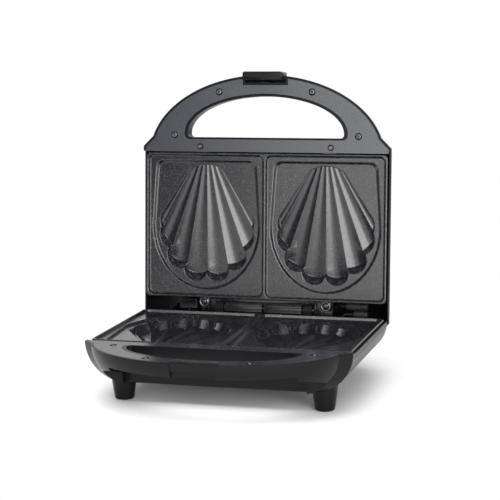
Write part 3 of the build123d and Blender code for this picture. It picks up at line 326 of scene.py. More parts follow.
    def _dust(self) -> bpy.types.NodeTree:
        """A trace of pale dust in patches on a colour."""
        tree = self._new("dust", [
            ("Vector", "NodeSocketVector", None),
            ("Colour", "NodeSocketColor", (0.1, 0.1, 0.1, 1.0)),
            ("Amount", "NodeSocketFloat", 0.02),
        ], [("Colour", "NodeSocketColor")])
        nodes, links = tree.nodes, tree.links
        source = nodes["in"]
        noise = nodes.new("ShaderNodeTexNoise")
        noise.inputs["Scale"].default_value = self.DUST_SCALE
        noise.inputs["Detail"].default_value = self.DUST_DETAIL
        noise.inputs["Roughness"].default_value = self.DUST_ROUGHNESS
        links.new(source.outputs["Vector"], noise.inputs["Vector"])
        patch = nodes.new("ShaderNodeMapRange")
        patch.inputs["From Min"].default_value = self.DUST_FROM
        patch.inputs["From Max"].default_value = self.DUST_TO
        links.new(noise.outputs["Fac"], patch.inputs["Value"])
        gain = nodes.new("ShaderNodeMath")
        gain.operation = "MULTIPLY"
        links.new(patch.outputs[0], gain.inputs[0])
        links.new(source.outputs["Amount"], gain.inputs[1])
        mix = nodes.new("ShaderNodeMix")
        mix.data_type = "RGBA"
        mix.inputs[MIX_SECOND].default_value = self.DUST_COLOUR
        links.new(gain.outputs[0], mix.inputs["Factor"])
        links.new(source.outputs["Colour"], mix.inputs[MIX_FIRST])
        links.new(mix.outputs[MIX_RESULT], nodes["out"].inputs["Colour"])
        return tree


class FinishShop:
    """Makes one material for each finish, and paints objects with it."""

    FLECK_COLOUR = (0.12, 0.12, 0.13, 1.0)
    FLECK_SCALE, FLECK_SHARE = 1050.0, 0.4
    EDGE_SAMPLES = 6

    def __init__(self) -> None:
        """Starts with the shared groups and no material."""
        self.groups = NodeGroups()
        self.made: dict[str, bpy.types.Material] = {}

    def material(self, finish: Finish) -> bpy.types.Material:
        """Gives the material of a finish, made on first use.

        Args:
            finish: The finish wanted.

        Returns:
            Its material.
        """
        if finish.name not in self.made:
            self.made[finish.name] = self._build(finish)
        return self.made[finish.name]

    @staticmethod
    def _group(tree: bpy.types.NodeTree, group: bpy.types.NodeTree, **values: object) -> bpy.types.Node:
        """Places a group in a material and sets its plain inputs.

        Args:
            tree: The material's node tree.
            group: The group to place.
            **values: The value of each input that isn't linked.

        Returns:
            The placed node.
        """
        node = tree.nodes.new("ShaderNodeGroup")
        node.node_tree = group
        for label, value in values.items():
            node.inputs[label].default_value = value
        return node

    def _build(self, finish: Finish) -> bpy.types.Material:
        """Builds the node tree of a finish.

        Args:
            finish: The finish.

        Returns:
            The new material.
        """
        material = bpy.data.materials.new(finish.name)
        material.use_nodes = True
        tree = material.node_tree
        links = tree.links
        shader = tree.nodes["Principled BSDF"]
        colour = (*finish.colour, 1.0)
        place = tree.nodes.new("ShaderNodeTexCoord")
        mottle = self._group(tree, self.groups.mottle, Colour=colour, Amount=finish.mottle,
                             Roughness=finish.roughness, Spread=finish.rough_spread)
        links.new(place.outputs["Object"], mottle.inputs["Vector"])
        tint = mottle.outputs["Colour"]
        if finish.look is Look.COATED:
            fleck = self._group(tree, self.groups.speckle, Fleck=self.FLECK_COLOUR, Scale=self.FLECK_SCALE,
                                Share=self.FLECK_SHARE)
            links.new(place.outputs["Object"], fleck.inputs["Vector"])
            links.new(tint, fleck.inputs["Colour"])
            tint = fleck.outputs["Colour"]
        rounded = tree.nodes.new("ShaderNodeBevel")
        rounded.samples = self.EDGE_SAMPLES
        rounded.inputs["Radius"].default_value = finish.edge_round
        # painted highlight: the colour is lightened along edges by edge_light
        if finish.edge_light > 0:
            flat = tree.nodes.new("ShaderNodeNewGeometry")
            bright_edges = self._group(tree, self.groups.painted_edge_highlight, Strength=finish.edge_light)
            links.new(rounded.outputs["Normal"], bright_edges.inputs["Rounded"])
            links.new(flat.outputs["Normal"], bright_edges.inputs["Flat"])
            links.new(tint, bright_edges.inputs["Colour"])
            tint = bright_edges.outputs["Colour"]
        if finish.dust > 0:
            dust = self._group(tree, self.groups.dust, Amount=finish.dust)
            links.new(place.outputs["Object"], dust.inputs["Vector"])
            links.new(tint, dust.inputs["Colour"])
            tint = dust.outputs["Colour"]
        links.new(tint, shader.inputs["Base Color"])
        links.new(mottle.outputs["Roughness"], shader.inputs["Roughness"])
        grain = self._group(tree, self.groups.grain, Scale=1.0 / finish.grain_size)
        links.new(place.outputs["Object"], grain.inputs["Vector"])
        bump = tree.nodes.new("ShaderNodeBump")
        bump.inputs["Strength"].default_value = 1.0
        bump.inputs["Distance"].default_value = finish.grain_depth
        links.new(grain.outputs["Height"], bump.inputs["Height"])
        links.new(rounded.outputs["Normal"], bump.inputs["Normal"])
        links.new(bump.outputs["Normal"], shader.inputs["Normal"])
        shader.inputs["Metallic"].default_value = finish.metallic
        shader.inputs["Specular IOR Level"].default_value = finish.specular
        shader.inputs["Transmission Weight"].default_value = finish.transmission
        material.diffuse_color = colour
        return material

    def dress(self, finish: Finish, nodes: Iterable[str]) -> None:
        """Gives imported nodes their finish.

        Args:
            finish: The finish of all of them.
            nodes: Their names.
        """
        for name in nodes:
            piece = frame["nodes"][name]
            piece.data.materials.clear()
            piece.data.materials.append(self.material(finish))
            LOG.info("%s dressed in %s", name, finish.name)


# Bench tools


def facing(half: Half) -> Vector:
    """Gives the way that a half's panel and plate face, with the lid open.

    Args:
        half: Which half of the machine.

    Returns:
        A unit vector.
    """
    if half is Half.BASE:
        return UPWARD.copy()
    joints = frame["record"]["behaviour"]["joints"]
    opened = next(joint["range_deg"][1] for joint in joints if joint["name"] == "lid_hinge")
    lean = math.radians(opened - 90.0)
    return Vector((0.0, -math.cos(lean), math.sin(lean)))


def seats(node: str, way: Vector) -> list[Vector]:
    """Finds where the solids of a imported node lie.

    Args:
        node: The node's name.
        way: The direction of their axes.

    Returns:
        The middle of each solid's outer end, from left to right.
    """
    mesh = bmesh.new()
    mesh.from_mesh(frame["nodes"][node].data)
    bmesh.ops.remove_doubles(mesh, verts=mesh.verts, dist=WELDED)
    left = set(mesh.verts)
    ends = []
    while left:
        group, queue = [], [left.pop()]
        while queue:
            vert = queue.pop()
            group.append(vert.co.copy())
            near = {edge.other_vert(vert) for edge in vert.link_edges} & left
            left -= near
            queue.extend(near)
        low = Vector(min(point[i] for point in group) for i in range(3))
        high = Vector(max(point[i] for point in group) for i in range(3))
        middle = (low + high) / 2
        top = max(point.dot(way) for point in group)
        across = middle - way * middle.dot(way)
        ends.append(across + way * top)
    mesh.free()
    return sorted(ends, key=lambda end: end.x)


def faces_up(face: bmesh.types.BMFace) -> bool:
    """Tells whether a face looks along the Z axis."""
    return face.normal.z > FACING


def faces_down(face: bmesh.types.BMFace) -> bool:
    """Tells whether a face looks against the Z axis."""
    return face.normal.z < -FACING


def at_top(edge: bmesh.types.BMEdge) -> bool:
    """Tells whether an edge of a piece modelled upright lies at its top, where Z is 0."""
    return all(abs(vert.co.z) < TOUCHING for vert in edge.verts)


class Bench:
    """Models pieces with Blender's own tools, as by hand."""

    FLAT_TURN = 1.5
    EDGE_TURN = 38.0
    SMOOTH_TURN = 40.0

    @staticmethod
    def only(piece: bpy.types.Object | None) -> None:
        """Leaves edit mode and selects one piece alone, or none.

        Args:
            piece: The piece to make active.
        """
        if bpy.context.object is not None and bpy.context.object.mode != "OBJECT":
            bpy.ops.object.mode_set(mode="OBJECT")
        bpy.ops.object.select_all(action="DESELECT")
        if piece is not None:
            piece.select_set(True)
            bpy.context.view_layer.objects.active = piece

    @classmethod
    def cylinder(cls, name: str, radius: float, low: float, high: float,
                 sides: int = 48) -> bpy.types.Object:
        """Adds an upright cylinder about the Z axis.

        Args:
            name: The piece's name.
            radius: Its radius.
            low: The height of its foot.
            high: The height of its top.
            sides: How many sides it has.

        Returns:
            The piece, its place in its mesh.
        """
        cls.only(None)
        middle = (0.0, 0.0, (low + high) / 2)
        bpy.ops.mesh.primitive_cylinder_add(vertices=sides, radius=radius, depth=high - low, location=middle)
        piece = bpy.context.object
        piece.name = name
        bpy.ops.object.transform_apply(location=True, rotation=True, scale=True)
        return piece

    @classmethod
    def faces(cls, piece: bpy.types.Object, rule: Callable[[bmesh.types.BMFace], bool]) -> None:
        """Opens a piece for editing with some faces selected.

        Args:
            piece: The piece.
            rule: Tells whether a face is wanted.
        """
        cls.only(piece)
        bpy.ops.object.mode_set(mode="EDIT")
        bpy.ops.mesh.select_mode(type="FACE")
        bpy.ops.mesh.select_all(action="DESELECT")
        mesh = bmesh.from_edit_mesh(piece.data)
        for face in mesh.faces:
            face.select_set(rule(face))
        bmesh.update_edit_mesh(piece.data)

    @classmethod
    def edges(cls, piece: bpy.types.Object, rule: Callable[[bmesh.types.BMEdge], bool]) -> None:
        """Opens a piece for editing with some edges selected.

        Args:
            piece: The piece.
            rule: Tells whether an edge is wanted.
        """
        cls.only(piece)
        bpy.ops.object.mode_set(mode="EDIT")
        bpy.ops.mesh.select_mode(type="EDGE")
        bpy.ops.mesh.select_all(action="DESELECT")
        mesh = bmesh.from_edit_mesh(piece.data)
        for edge in mesh.edges:
            edge.select_set(rule(edge))
        bmesh.update_edit_mesh(piece.data)

    @staticmethod
    def pull(height: float, share: float = 1.0) -> None:
        """Extrudes the selected faces along Z and resizes their end about the axis.

        Args:
            height: How far up, or down if negative.
            share: The end's size as a part of its start's.
        """
        bpy.ops.mesh.extrude_region_move(TRANSFORM_OT_translate={"value": (0.0, 0.0, height)})
        bpy.ops.transform.resize(value=(share, share, 1.0), center_override=(0.0, 0.0, 0.0))

    @classmethod
    def cut(cls, piece: bpy.types.Object, cutter: bpy.types.Object) -> None:
        """Cuts one piece out of another and removes the cutter.

        Args:
            piece: The piece to cut.
            cutter: What is cut out of it.
        """
        cls.only(piece)
        modifier = piece.modifiers.new("cut", "BOOLEAN")
        modifier.operation = "DIFFERENCE"
        modifier.solver = "EXACT"
        modifier.object = cutter
        bpy.ops.object.modifier_apply(modifier=modifier.name)
        bpy.data.objects.remove(cutter, do_unlink=True)

    @classmethod
    def smooth(cls, piece: bpy.types.Object, angle: float = 35.0) -> None:
        """Shades a piece smooth where it turns little.

        Args:
            piece: The piece.
            angle: The least turn in degrees that stays sharp.
        """
        cls.only(piece)
        bpy.ops.object.shade_smooth_by_angle(angle=math.radians(angle))

    @classmethod
    def rounded_copy(cls, node: str, name: str, radius: float) -> bpy.types.Object:
        """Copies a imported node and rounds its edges.

        Args:
            node: The node to copy.
            name: The new piece's name.
            radius: How wide the rounding is.

        Returns:
            The new piece, which replaces the node.
        """
        piece = bpy.data.objects.new(name, frame["nodes"][node].data.copy())
        bpy.context.scene.collection.objects.link(piece)
        cls.faces(piece, lambda face: True)
        bpy.ops.mesh.remove_doubles(threshold=WELDED)
        bpy.ops.mesh.dissolve_limited(angle_limit=math.radians(cls.FLAT_TURN))
        bpy.ops.object.mode_set(mode="OBJECT")
        modifier = piece.modifiers.new("round", "BEVEL")
        modifier.width = radius
        modifier.segments = 3
        modifier.limit_method = "ANGLE"
        modifier.angle_limit = math.radians(cls.EDGE_TURN)
        bpy.ops.object.modifier_apply(modifier=modifier.name)
        cls.smooth(piece, cls.SMOOTH_TURN)
        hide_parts(node)
        return piece

    @staticmethod
    def repeat(master: bpy.types.Object, name: str, places: Sequence[Vector],
               way: Vector) -> list[bpy.types.Object]:
        """Copies a finished piece to its places and removes the master.

        Args:
            master: The piece, modelled upright at the origin.
            name: The start of the copies' names.
            places: Where each copy's origin goes.
            way: Where the master's Z axis points.

        Returns:
            The copies, each with its own mesh.
        """
        turn = UPWARD.rotation_difference(way).to_matrix().to_4x4()
        if way == DOWNWARD:
            turn = Matrix.Rotation(math.pi, 4, "X")
        made = []
        for count, place in enumerate(places, 1):
            mesh = master.data.copy()
            mesh.transform(Matrix.Translation(place) @ turn)
            piece = bpy.data.objects.new(f"{name}_{count}", mesh)
            bpy.context.scene.collection.objects.link(piece)
            made.append(piece)
        bpy.data.objects.remove(master, do_unlink=True)
        return made


@dataclass(frozen=True)
class Ring:
    """A flat ring with rounded top edges."""

    inner: float
    outer: float
    height: float

    SIDES = 64
    ROUNDING = 0.35
    SMOOTH_TURN = 60.0

    def model(self) -> bpy.types.Object:
        """Models the ring upright, its top at the origin.

        Returns:
            The ring.
        """
        piece = Bench.cylinder("ring", self.outer * MM, -self.height * MM, 0.0, self.SIDES)
        Bench.faces(piece, faces_up)
        Bench.pull(0.0, self.inner / self.outer)
        Bench.pull(-self.height * MM)
        bpy.ops.mesh.delete(type="FACE")
        Bench.faces(piece, lambda face: faces_down(face) and len(face.verts) == self.SIDES)
        bpy.ops.mesh.delete(type="FACE")
        Bench.edges(piece, lambda edge: len(edge.link_faces) == 1)
        bpy.ops.mesh.bridge_edge_loops()
        Bench.edges(piece, lambda edge: at_top(edge)
                    and abs(edge.verts[0].co.length - edge.verts[1].co.length) < WELDED)
        rounding = min(self.height, self.outer - self.inner) * self.ROUNDING * MM
        bpy.ops.mesh.bevel(offset=rounding, segments=3, affect="EDGES")
        Bench.smooth(piece, self.SMOOTH_TURN)
        return piece


@dataclass(frozen=True)
class CrossScrew:
    """A round-headed screw with a cross recess and a rolled thread."""

    head_radius: float
    head_height: float
    shank_radius: float
    length: float
    recess_span: float = 2.9
    recess_width: float = 1.0
    recess_depth: float = 1.3
    turns: int = 7

    CROWN = 0.5
    NECK = 0.2
    THREADED = 0.62
    THREAD_ROOT = 0.85
    POINT, POINT_SIZE = 0.12, 0.3
    RECESS_FOOT = 0.15

    def model(self) -> bpy.types.Object:
        """Models the screw upright, the top of its head at the origin.

        Returns:
            The screw.
        """
        piece = Bench.cylinder("screw", self.head_radius * MM, -self.head_height * MM, 0.0)
        Bench.edges(piece, at_top)
        bpy.ops.mesh.bevel(offset=self.head_height * self.CROWN * MM, segments=4, affect="EDGES")
        Bench.faces(piece, faces_down)
        Bench.pull(0.0, self.shank_radius / self.head_radius)
        Bench.pull(-(self.length * self.NECK) * MM)
        step = (self.length * self.THREADED - self.head_height) / self.turns / 2
        for _ in range(self.turns):
            Bench.pull(-step * MM, self.THREAD_ROOT)
            Bench.pull(-step * MM, 1 / self.THREAD_ROOT)
        Bench.pull(-self.length * self.POINT * MM, self.POINT_SIZE)
        for turned in (False, True):
            Bench.cut(piece, self.cutter(turned))
        Bench.smooth(piece)
        return piece

    def cutter(self, turned: bool) -> bpy.types.Object:
        """Makes one wedge of the cross recess, narrower at its foot.

        Args:
            turned: Whether it lies across the other wedge.

        Returns:
            The wedge.
        """
        Bench.only(None)
        span, width = self.recess_span * 2 * MM, self.recess_width * 2 * MM
        depth = 2 * self.recess_depth * MM
        size = (width, span, depth) if turned else (span, width, depth)
        bpy.ops.mesh.primitive_cube_add(size=1.0)
        wedge = bpy.context.object
        wedge.scale = size
        bpy.ops.object.transform_apply(location=True, rotation=True, scale=True)
        Bench.faces(wedge, faces_down)
        bpy.ops.transform.resize(value=(self.RECESS_FOOT, self.RECESS_FOOT, 1.0),
                                 center_override=(0.0, 0.0, 0.0))
        Bench.only(None)
        return wedge


def finished(shop: FinishShop, piece: bpy.types.Object, finish: Finish, body: str) -> None:
    """Dresses a new piece and fixes it to its body.

    Args:
        shop: Where finishes are made.
        piece: The new piece.
        finish: Its finish.
        body: The body that it moves with.
    """
    Bench.only(None)
    piece.data.materials.clear()
    piece.data.materials.append(shop.material(finish))
    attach(piece, body)
    LOG.info("%s made, %d faces", piece.name, len(piece.data.polygons))


# Sub-assemblies


@dataclass
class Housings:
    """The moulded bodies, the panels of their handles, and the screws and pegs in them.

    Lengths are in millimetres. The peg's lip, button and tapers are shares of the size before them.
    """

    shop: FinishShop
    head_radius: float = 2.45
    head_height: float = 1.4
    shank_radius: float = 1.5
    screw_length: float = 9.4
    # painted shade: the near-black ring round each screw head
    head_shade_ring: Ring = Ring(2.5, 3.2, 0.7)
    peg_radius: float = 2.0
    peg_height: float = 0.9
    peg_stem: float = 1.3
    peg_depth: float = 3.0
    peg_edge: float = 0.2
    peg_lip: float = 0.72
    peg_dish_depth: float = 0.75
    peg_dish_taper: float = 0.86
    peg_button: float = 0.4
    peg_button_height: float = 0.3
    peg_button_taper: float = 0.8
    peg_stem_taper: float = 0.9
    # painted shade: the near-black ring round each peg
    peg_shade_ring: Ring = Ring(2.05, 2.8, 0.5)

    def dress(self) -> None:
        """Dresses the bodies and panels, and makes their screws and pegs."""
        self.shop.dress(HOUSING, ["base_housing", "lid_housing"])
        self.shop.dress(PANEL, ["base_handle_panel", "lid_handle_panel"])
        for half in Half:
            self.screws(half)
        self.pegs()

    def screws(self, half: Half) -> None:
        """Makes the four cross-head screws of a handle and the near-black ring of painted shade round each
        head.

        Args:
            half: Which handle.
        """
        node = half.value + "_handle_screws"
        way = facing(half)
        places = seats(node, way)
        master = CrossScrew(self.head_radius, self.head_height, self.shank_radius, self.screw_length).model()
        for piece in Bench.repeat(master, half.value + "_handle_screw", places, way):
            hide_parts(node)
            finished(self.shop, piece, BLACK_STEEL, half.value)
        # painted shade: near-black rings round the screw heads
        seat = [place - way * (self.head_height - self.head_shade_ring.height) * MM for place in places]
        for piece in Bench.repeat(self.head_shade_ring.model(), half.value + "_screw_shade_ring", seat, way):
            finished(self.shop, piece, PAINTED_SHADE_RING, half.value)

    def pegs(self) -> None:
        """Makes the two dished pegs of the lid's panel and the near-black ring of painted shade round each.
        """
        way = facing(Half.LID)
        piece = Bench.cylinder("peg", self.peg_radius * MM, -self.peg_height * MM, 0.0)
        Bench.faces(piece, faces_up)
        Bench.pull(0.0, self.peg_lip)
        Bench.pull(-self.peg_height * self.peg_dish_depth * MM, self.peg_dish_taper)
        Bench.pull(0.0, self.peg_button)
        Bench.pull(self.peg_height * self.peg_button_height * MM, self.peg_button_taper)
        Bench.faces(piece, faces_down)
        Bench.pull(0.0, self.peg_stem / self.peg_radius)
        Bench.pull(-self.peg_depth * MM, self.peg_stem_taper)
        Bench.edges(piece, at_top)
        bpy.ops.mesh.bevel(offset=self.peg_edge * MM, segments=3, affect="EDGES")
        Bench.smooth(piece)
        places = seats("lid_panel_pegs", way)
        for peg in Bench.repeat(piece, "lid_panel_peg", places, way):
            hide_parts("lid_panel_pegs")
            finished(self.shop, peg, BLACK_STEEL, "lid")
        # painted shade: near-black rings round the pegs
        seat = [place - way * (self.peg_height - self.peg_shade_ring.height) * MM for place in places]
        for ring in Bench.repeat(self.peg_shade_ring.model(), "lid_peg_shade_ring", seat, way):
            finished(self.shop, ring, PAINTED_SHADE_RING, "lid")


@dataclass
class Plates:
    """The two cast plates, their screws, and the rings round the two screws in the lid plate's lugs: a
    bright ring and a near-black ring of painted shade round each.

    Lengths are in millimetres, and lug_shade_ring_sink is a share of the head's height.
    """

    shop: FinishShop
    lug_head_radius: float = 2.3
    lug_head_height: float = 1.8
    lug_ring: Ring = Ring(3.5, 4.0, 0.45)
    lug_ring_proud: float = 0.4
    # painted shade: the near-black ring round each lug screw head
    lug_shade_ring: Ring = Ring(2.35, 2.9, 0.6)
    lug_shade_ring_sink: float = 0.4
    lug_shank_radius: float = 1.5
    lug_screw_length: float = 13.0
    post_head_radius: float = 3.5
    post_head_height: float = 2.2
    post_shank_radius: float = 2.0
    post_screw_length: float = 20.9
    post_recess_span: float = 2.6
    post_recess_width: float = 1.0
    post_recess_depth: float = 1.6
    post_turns: int = 12

    def dress(self) -> None:
        """Dresses the plates and the screws that hold them."""
        self.shop.dress(COATING, ["base_plate", "lid_plate"])
        way = facing(Half.LID)
        lug = CrossScrew(self.lug_head_radius, self.lug_head_height, self.lug_shank_radius,
                         self.lug_screw_length)
        places = seats("lid_plate_screws", way)
        for piece in Bench.repeat(lug.model(), "lid_plate_screw", places, way):
            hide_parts("lid_plate_screws")
            finished(self.shop, piece, BLACK_STEEL, "lid")
        seat = [place + way * self.lug_ring_proud * MM for place in places]
        for ring in Bench.repeat(self.lug_ring.model(), "lid_plate_screw_ring", seat, way):
            finished(self.shop, ring, BEAD, "lid")
        # painted shade: near-black rings sunk round the lug screw heads
        well = [place - way * self.lug_head_height * self.lug_shade_ring_sink * MM for place in places]
        for ring in Bench.repeat(self.lug_shade_ring.model(), "lid_plate_screw_shade_ring", well, way):
            finished(self.shop, ring, PAINTED_SHADE_RING, "lid")
        long = CrossScrew(self.post_head_radius, self.post_head_height, self.post_shank_radius,
                          self.post_screw_length, self.post_recess_span, self.post_recess_width,
                          self.post_recess_depth, self.post_turns)
        places = seats("base_plate_screws", DOWNWARD)
        for piece in Bench.repeat(long.model(), "base_plate_screw", places, DOWNWARD):
            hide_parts("base_plate_screws")
            finished(self.shop, piece, STEEL, "base")


@dataclass
class Hinge:
    """The hinge and what is seen in its slot, with the widths of their rounded edges in millimetres."""

    shop: FinishShop
    saddle_edge: float = 0.25
    pin_edge: float = 0.3
    sleeve_edge: float = 0.15

    def dress(self) -> None:
        """Dresses the hinge pieces and the sleeves beside them."""
        saddle = Bench.rounded_copy("hinge_saddle", "hinge_saddle_rounded", self.saddle_edge * MM)
        finished(self.shop, saddle, SADDLE, "lid")
        pin = Bench.rounded_copy("hinge_pin", "hinge_pin_domed", self.pin_edge * MM)
        finished(self.shop, pin, PIN_STEEL, "base")
        sleeves = Bench.rounded_copy("lid_terminal_sleeves", "lid_terminal_sleeves_woven",
                                     self.sleeve_edge * MM)
        finished(self.shop, sleeves, SLEEVE, "lid")


@dataclass
class Latch:
    """The clip that holds the halves shut, with the width of its rounded edges in millimetres."""

    shop: FinishShop
    clip_edge: float = 0.45

    def dress(self) -> None:
        """Dresses the clip, its pin and its spring."""
        clip = Bench.rounded_copy("latch_clip", "latch_clip_rounded", self.clip_edge * MM)
        finished(self.shop, clip, LATCH, "latch")
        self.shop.dress(PIN_STEEL, ["latch_pin", "latch_spring"])


@dataclass
class Heating:
    """Heating, wiring and lamps inside the two bodies."""

    shop: FinishShop

    def dress(self) -> None:
        """Dresses the pieces inside the bodies."""
        for half in Half:
            self.shop.dress(HEATER, [half.value + "_element"])
            self.shop.dress(STEEL, [half.value + "_element_clamps"])
            self.shop.dress(SHEET, [half.value + "_reflector"])
            self.shop.dress(CERAMIC, [half.value + "_thermostat"])
            self.shop.dress(WIRE, [half.value + "_wires"])
        self.shop.dress(STEEL, ["base_thermal_fuse"])
        self.shop.dress(CERAMIC, ["terminal_block"])
        self.shop.dress(RUBBER, ["cord_bush"])
        self.shop.dress(LENS_RED, ["power_lamp_lens"])
        self.shop.dress(LENS_GREEN, ["ready_lamp_lens"])
        self.shop.dress(BULB, ["power_lamp", "ready_lamp"])


@dataclass
class Feet:
    """The soft pads that the machine stands on."""

    shop: FinishShop

    def dress(self) -> None:
        """Dresses the four pads."""
        places = [f"foot_pad_{end}_{side}" for end in ("front", "rear") for side in ("left", "right")]
        self.shop.dress(RUBBER, places)


# Studio


def around(azimuth: float, distance: float, height: float) -> Vector:
    """Gives a place around the machine.

    Args:
        azimuth: Degrees to the right of straight in front.
        distance: How far out, level.
        height: Height over the table.

    Returns:
        The place.
    """
    turn = math.radians(azimuth)
    return Vector((distance * math.sin(turn), -distance * math.cos(turn), height))


@dataclass(frozen=True)
class Softbox:
    """A soft rectangular lamp: its place, its width and height in metres, and its power in watts."""

    name: str
    place: Vector
    size: tuple[float, float]
    power: float
    mirrored: bool = True

    def hang(self, target: Vector) -> None:
        """Hangs the lamp.

        Args:
            target: What it points at.
        """
        data = bpy.data.lights.new(self.name, "AREA")
        data.shape = "RECTANGLE"
        data.size, data.size_y = self.size
        data.energy = self.power
        lamp = bpy.data.objects.new(self.name, data)
        lamp.location = self.place
        lamp.rotation_mode = "QUATERNION"
        lamp.rotation_quaternion = (target - self.place).to_track_quat("-Z", "Y")
        lamp.visible_glossy = self.mirrored
        bpy.context.scene.collection.objects.link(lamp)


SOFTBOXES = (
    Softbox("top_softbox", Vector((-0.25, -0.3, 1.6)), (1.8, 1.8), 36.0, mirrored=False),
    Softbox("key_softbox", around(32.0, 1.8, 0.52), (1.9, 1.1), 50.0),
    Softbox("fill_softbox", around(-7.5, 1.9, 0.52), (0.67, 1.1), 6.4),
    Softbox("strip_softbox", Vector((0.15, -0.85, 1.55)), (1.8, 0.35), 9.0),
)


@dataclass
class Studio:
    """Table, lamps and surroundings, with lengths in metres and lights as shares of plain white."""

    floor_size: float = 16.0
    floor_colour: Colour = (0.88, 0.88, 0.885)
    floor_roughness: float = 0.6
    floor_specular: float = 0.2
    clear_radius: float = 0.135
    fade: float = 0.08
    side_fade: float = 1.3
    surround: float = 0.2
    front_surround: float = 0.06
    top_surround: float = 0.05
    front_edge: float = -0.1
    back_edge: float = 0.6
    top_edge: float = 0.62
    low_edge: float = 0.28
    aim_height: float = 0.12

    def floor(self) -> None:
        """Lays a pale table that fades to plain white away from the machine."""
        bpy.ops.object.select_all(action="DESELECT")
        bpy.ops.mesh.primitive_plane_add(size=self.floor_size, location=(0.0, 0.0, 0.0))
        plane = bpy.context.object
        plane.name = "table_top"
        material = bpy.data.materials.new("table_white")
        material.use_nodes = True
        tree = material.node_tree
        links = tree.links
        shader = tree.nodes["Principled BSDF"]
        shader.inputs["Base Color"].default_value = (*self.floor_colour, 1.0)
        shader.inputs["Roughness"].default_value = self.floor_roughness
        shader.inputs["Specular IOR Level"].default_value = self.floor_specular
        place = tree.nodes.new("ShaderNodeTexCoord")
        oval = tree.nodes.new("ShaderNodeVectorMath")
        oval.operation = "MULTIPLY"
        oval.inputs[1].default_value = (self.side_fade, 1.0, 1.0)
        links.new(place.outputs["Object"], oval.inputs[0])
        far = tree.nodes.new("ShaderNodeVectorMath")
        far.operation = "LENGTH"
        links.new(oval.outputs[0], far.inputs[0])
        fade = tree.nodes.new("ShaderNodeMapRange")
        fade.interpolation_type = "SMOOTHSTEP"
        fade.inputs["From Min"].default_value = self.clear_radius
        fade.inputs["From Max"].default_value = self.clear_radius + self.fade
        links.new(far.outputs["Value"], fade.inputs["Value"])
        rays = tree.nodes.new("ShaderNodeLightPath")
        share = tree.nodes.new("ShaderNodeMath")
        share.operation = "MULTIPLY"
        links.new(rays.outputs["Is Camera Ray"], share.inputs[0])
        links.new(fade.outputs[0], share.inputs[1])
        white = tree.nodes.new("ShaderNodeEmission")
        white.inputs["Color"].default_value = WHITE
        white.inputs["Strength"].default_value = 1.0
        mix = tree.nodes.new("ShaderNodeMixShader")
        links.new(share.outputs[0], mix.inputs[0])
        links.new(shader.outputs[0], mix.inputs[1])
        links.new(white.outputs[0], mix.inputs[2])
        links.new(mix.outputs[0], tree.nodes["Material Output"].inputs["Surface"])
        plane.data.materials.append(material)

    def surroundings(self) -> None:
        """Makes the room white to look at, white behind the machine in reflections, and darker elsewhere."""
        world = bpy.data.worlds.new("white_room")
        world.use_nodes = True
        bpy.context.scene.world = world
        tree = world.node_tree
        links = tree.links
        rays = tree.nodes.new("ShaderNodeLightPath")
        plain = tree.nodes["Background"]
        plain.inputs["Color"].default_value = WHITE
        plain.inputs["Strength"].default_value = self.surround
        seen = tree.nodes.new("ShaderNodeBackground")
        seen.inputs["Color"].default_value = WHITE
        seen.inputs["Strength"].default_value = 1.0
        glossy = tree.nodes.new("ShaderNodeBackground")
        glossy.inputs["Color"].default_value = WHITE
        way = tree.nodes.new("ShaderNodeTexCoord")
        parts = tree.nodes.new("ShaderNodeSeparateXYZ")
        links.new(way.outputs["Generated"], parts.inputs[0])
        behind = tree.nodes.new("ShaderNodeMapRange")
        behind.interpolation_type = "SMOOTHSTEP"
        behind.inputs["From Min"].default_value = self.front_edge
        behind.inputs["From Max"].default_value = self.back_edge
        behind.inputs["To Min"].default_value = self.front_surround
        behind.inputs["To Max"].default_value = 1.0
        links.new(parts.outputs["Y"], behind.inputs["Value"])
        low = tree.nodes.new("ShaderNodeMapRange")
        low.interpolation_type = "SMOOTHSTEP"
        low.inputs["From Min"].default_value = self.top_edge
        low.inputs["From Max"].default_value = self.low_edge
        low.inputs["To Min"].default_value = self.top_surround
        links.new(parts.outputs["Z"], low.inputs["Value"])
        seen_share = tree.nodes.new("ShaderNodeMath")
        seen_share.operation = "MULTIPLY"
        links.new(behind.outputs[0], seen_share.inputs[0])
        links.new(low.outputs[0], seen_share.inputs[1])
        links.new(seen_share.outputs[0], glossy.inputs["Strength"])
        first = tree.nodes.new("ShaderNodeMixShader")
        second = tree.nodes.new("ShaderNodeMixShader")
        through = tree.nodes.new("ShaderNodeMath")
        through.operation = "MAXIMUM"
        links.new(rays.outputs["Is Glossy Ray"], through.inputs[0])
        links.new(rays.outputs["Is Transmission Ray"], through.inputs[1])
        links.new(through.outputs[0], first.inputs[0])
        links.new(plain.outputs[0], first.inputs[1])
        links.new(glossy.outputs[0], first.inputs[2])
        links.new(rays.outputs["Is Camera Ray"], second.inputs[0])
        links.new(first.outputs[0], second.inputs[1])
        links.new(seen.outputs[0], second.inputs[2])
        links.new(second.outputs[0], tree.nodes["World Output"].inputs["Surface"])

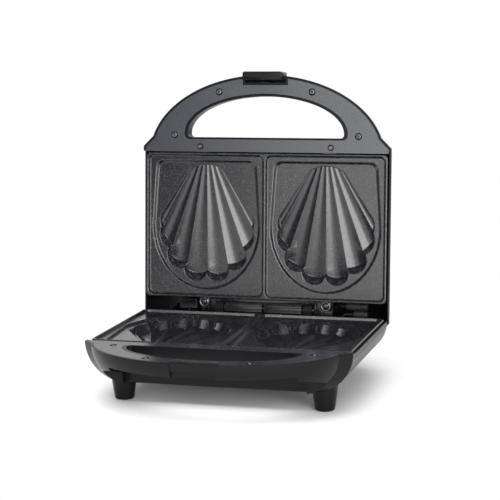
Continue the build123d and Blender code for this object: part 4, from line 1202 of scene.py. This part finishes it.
    def build(self) -> None:
        """Sets up the table, the surroundings and the lamps."""
        self.floor()
        self.surroundings()
        for softbox in SOFTBOXES:
            softbox.hang(Vector((0.0, 0.0, self.aim_height)))
        LOG.info("studio set up")


@dataclass
class PhotoCamera:
    """Camera at the photograph's angle, placed from the hinge axis, with its angles in degrees."""

    focal_mm: float = 114.1
    sensor_mm: float = 36.0
    nearest: float = 0.05
    farthest: float = 60.0
    azimuth: float = 16.418
    elevation: float = 9.247
    roll: float = -0.956
    aside: float = 13.015 * MM
    below: float = -56.445 * MM
    distance: float = 1457.2 * MM
    hinge_height: float = 2.7 * MM

    def build(self) -> None:
        """Makes the camera and gives it to the scene."""
        az, el, roll = (math.radians(angle) for angle in (self.azimuth, self.elevation, self.roll))
        back = Vector((math.sin(az) * math.cos(el), -math.cos(az) * math.cos(el), math.sin(el)))
        level = Vector((math.cos(az), math.sin(az), 0.0))
        upright = back.cross(level)
        right = level * math.cos(roll) + upright * math.sin(roll)
        up = upright * math.cos(roll) - level * math.sin(roll)
        low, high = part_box("hinge_pin")
        origin = (low + high) / 2 - Vector((0.0, 0.0, self.hinge_height))
        data = bpy.data.cameras.new("photo_camera")
        data.lens = self.focal_mm
        data.sensor_width = self.sensor_mm
        data.clip_start, data.clip_end = self.nearest, self.farthest
        camera = bpy.data.objects.new("photo_camera", data)
        turn = Matrix((right, up, back)).transposed().to_4x4()
        place = origin - right * self.aside - up * self.below + back * self.distance
        camera.matrix_world = Matrix.Translation(place) @ turn
        bpy.context.scene.collection.objects.link(camera)
        bpy.context.scene.camera = camera
        LOG.info("camera at %s", tuple(round(v, 4) for v in place))


def main() -> None:
    """Dresses the machine, sub-assembly by sub-assembly, and sets up the portrait."""
    logging.basicConfig(level=logging.INFO, format="%(name)s: %(message)s")
    bpy.ops.object.select_all(action="DESELECT")
    bpy.context.scene.view_settings.view_transform = "Standard"
    PhotoCamera().build()
    Studio().build()
    shop = FinishShop()
    for assembly in (Housings(shop), Plates(shop), Hinge(shop), Latch(shop), Heating(shop), Feet(shop)):
        assembly.dress()


if __name__ == "__main__":
    main()
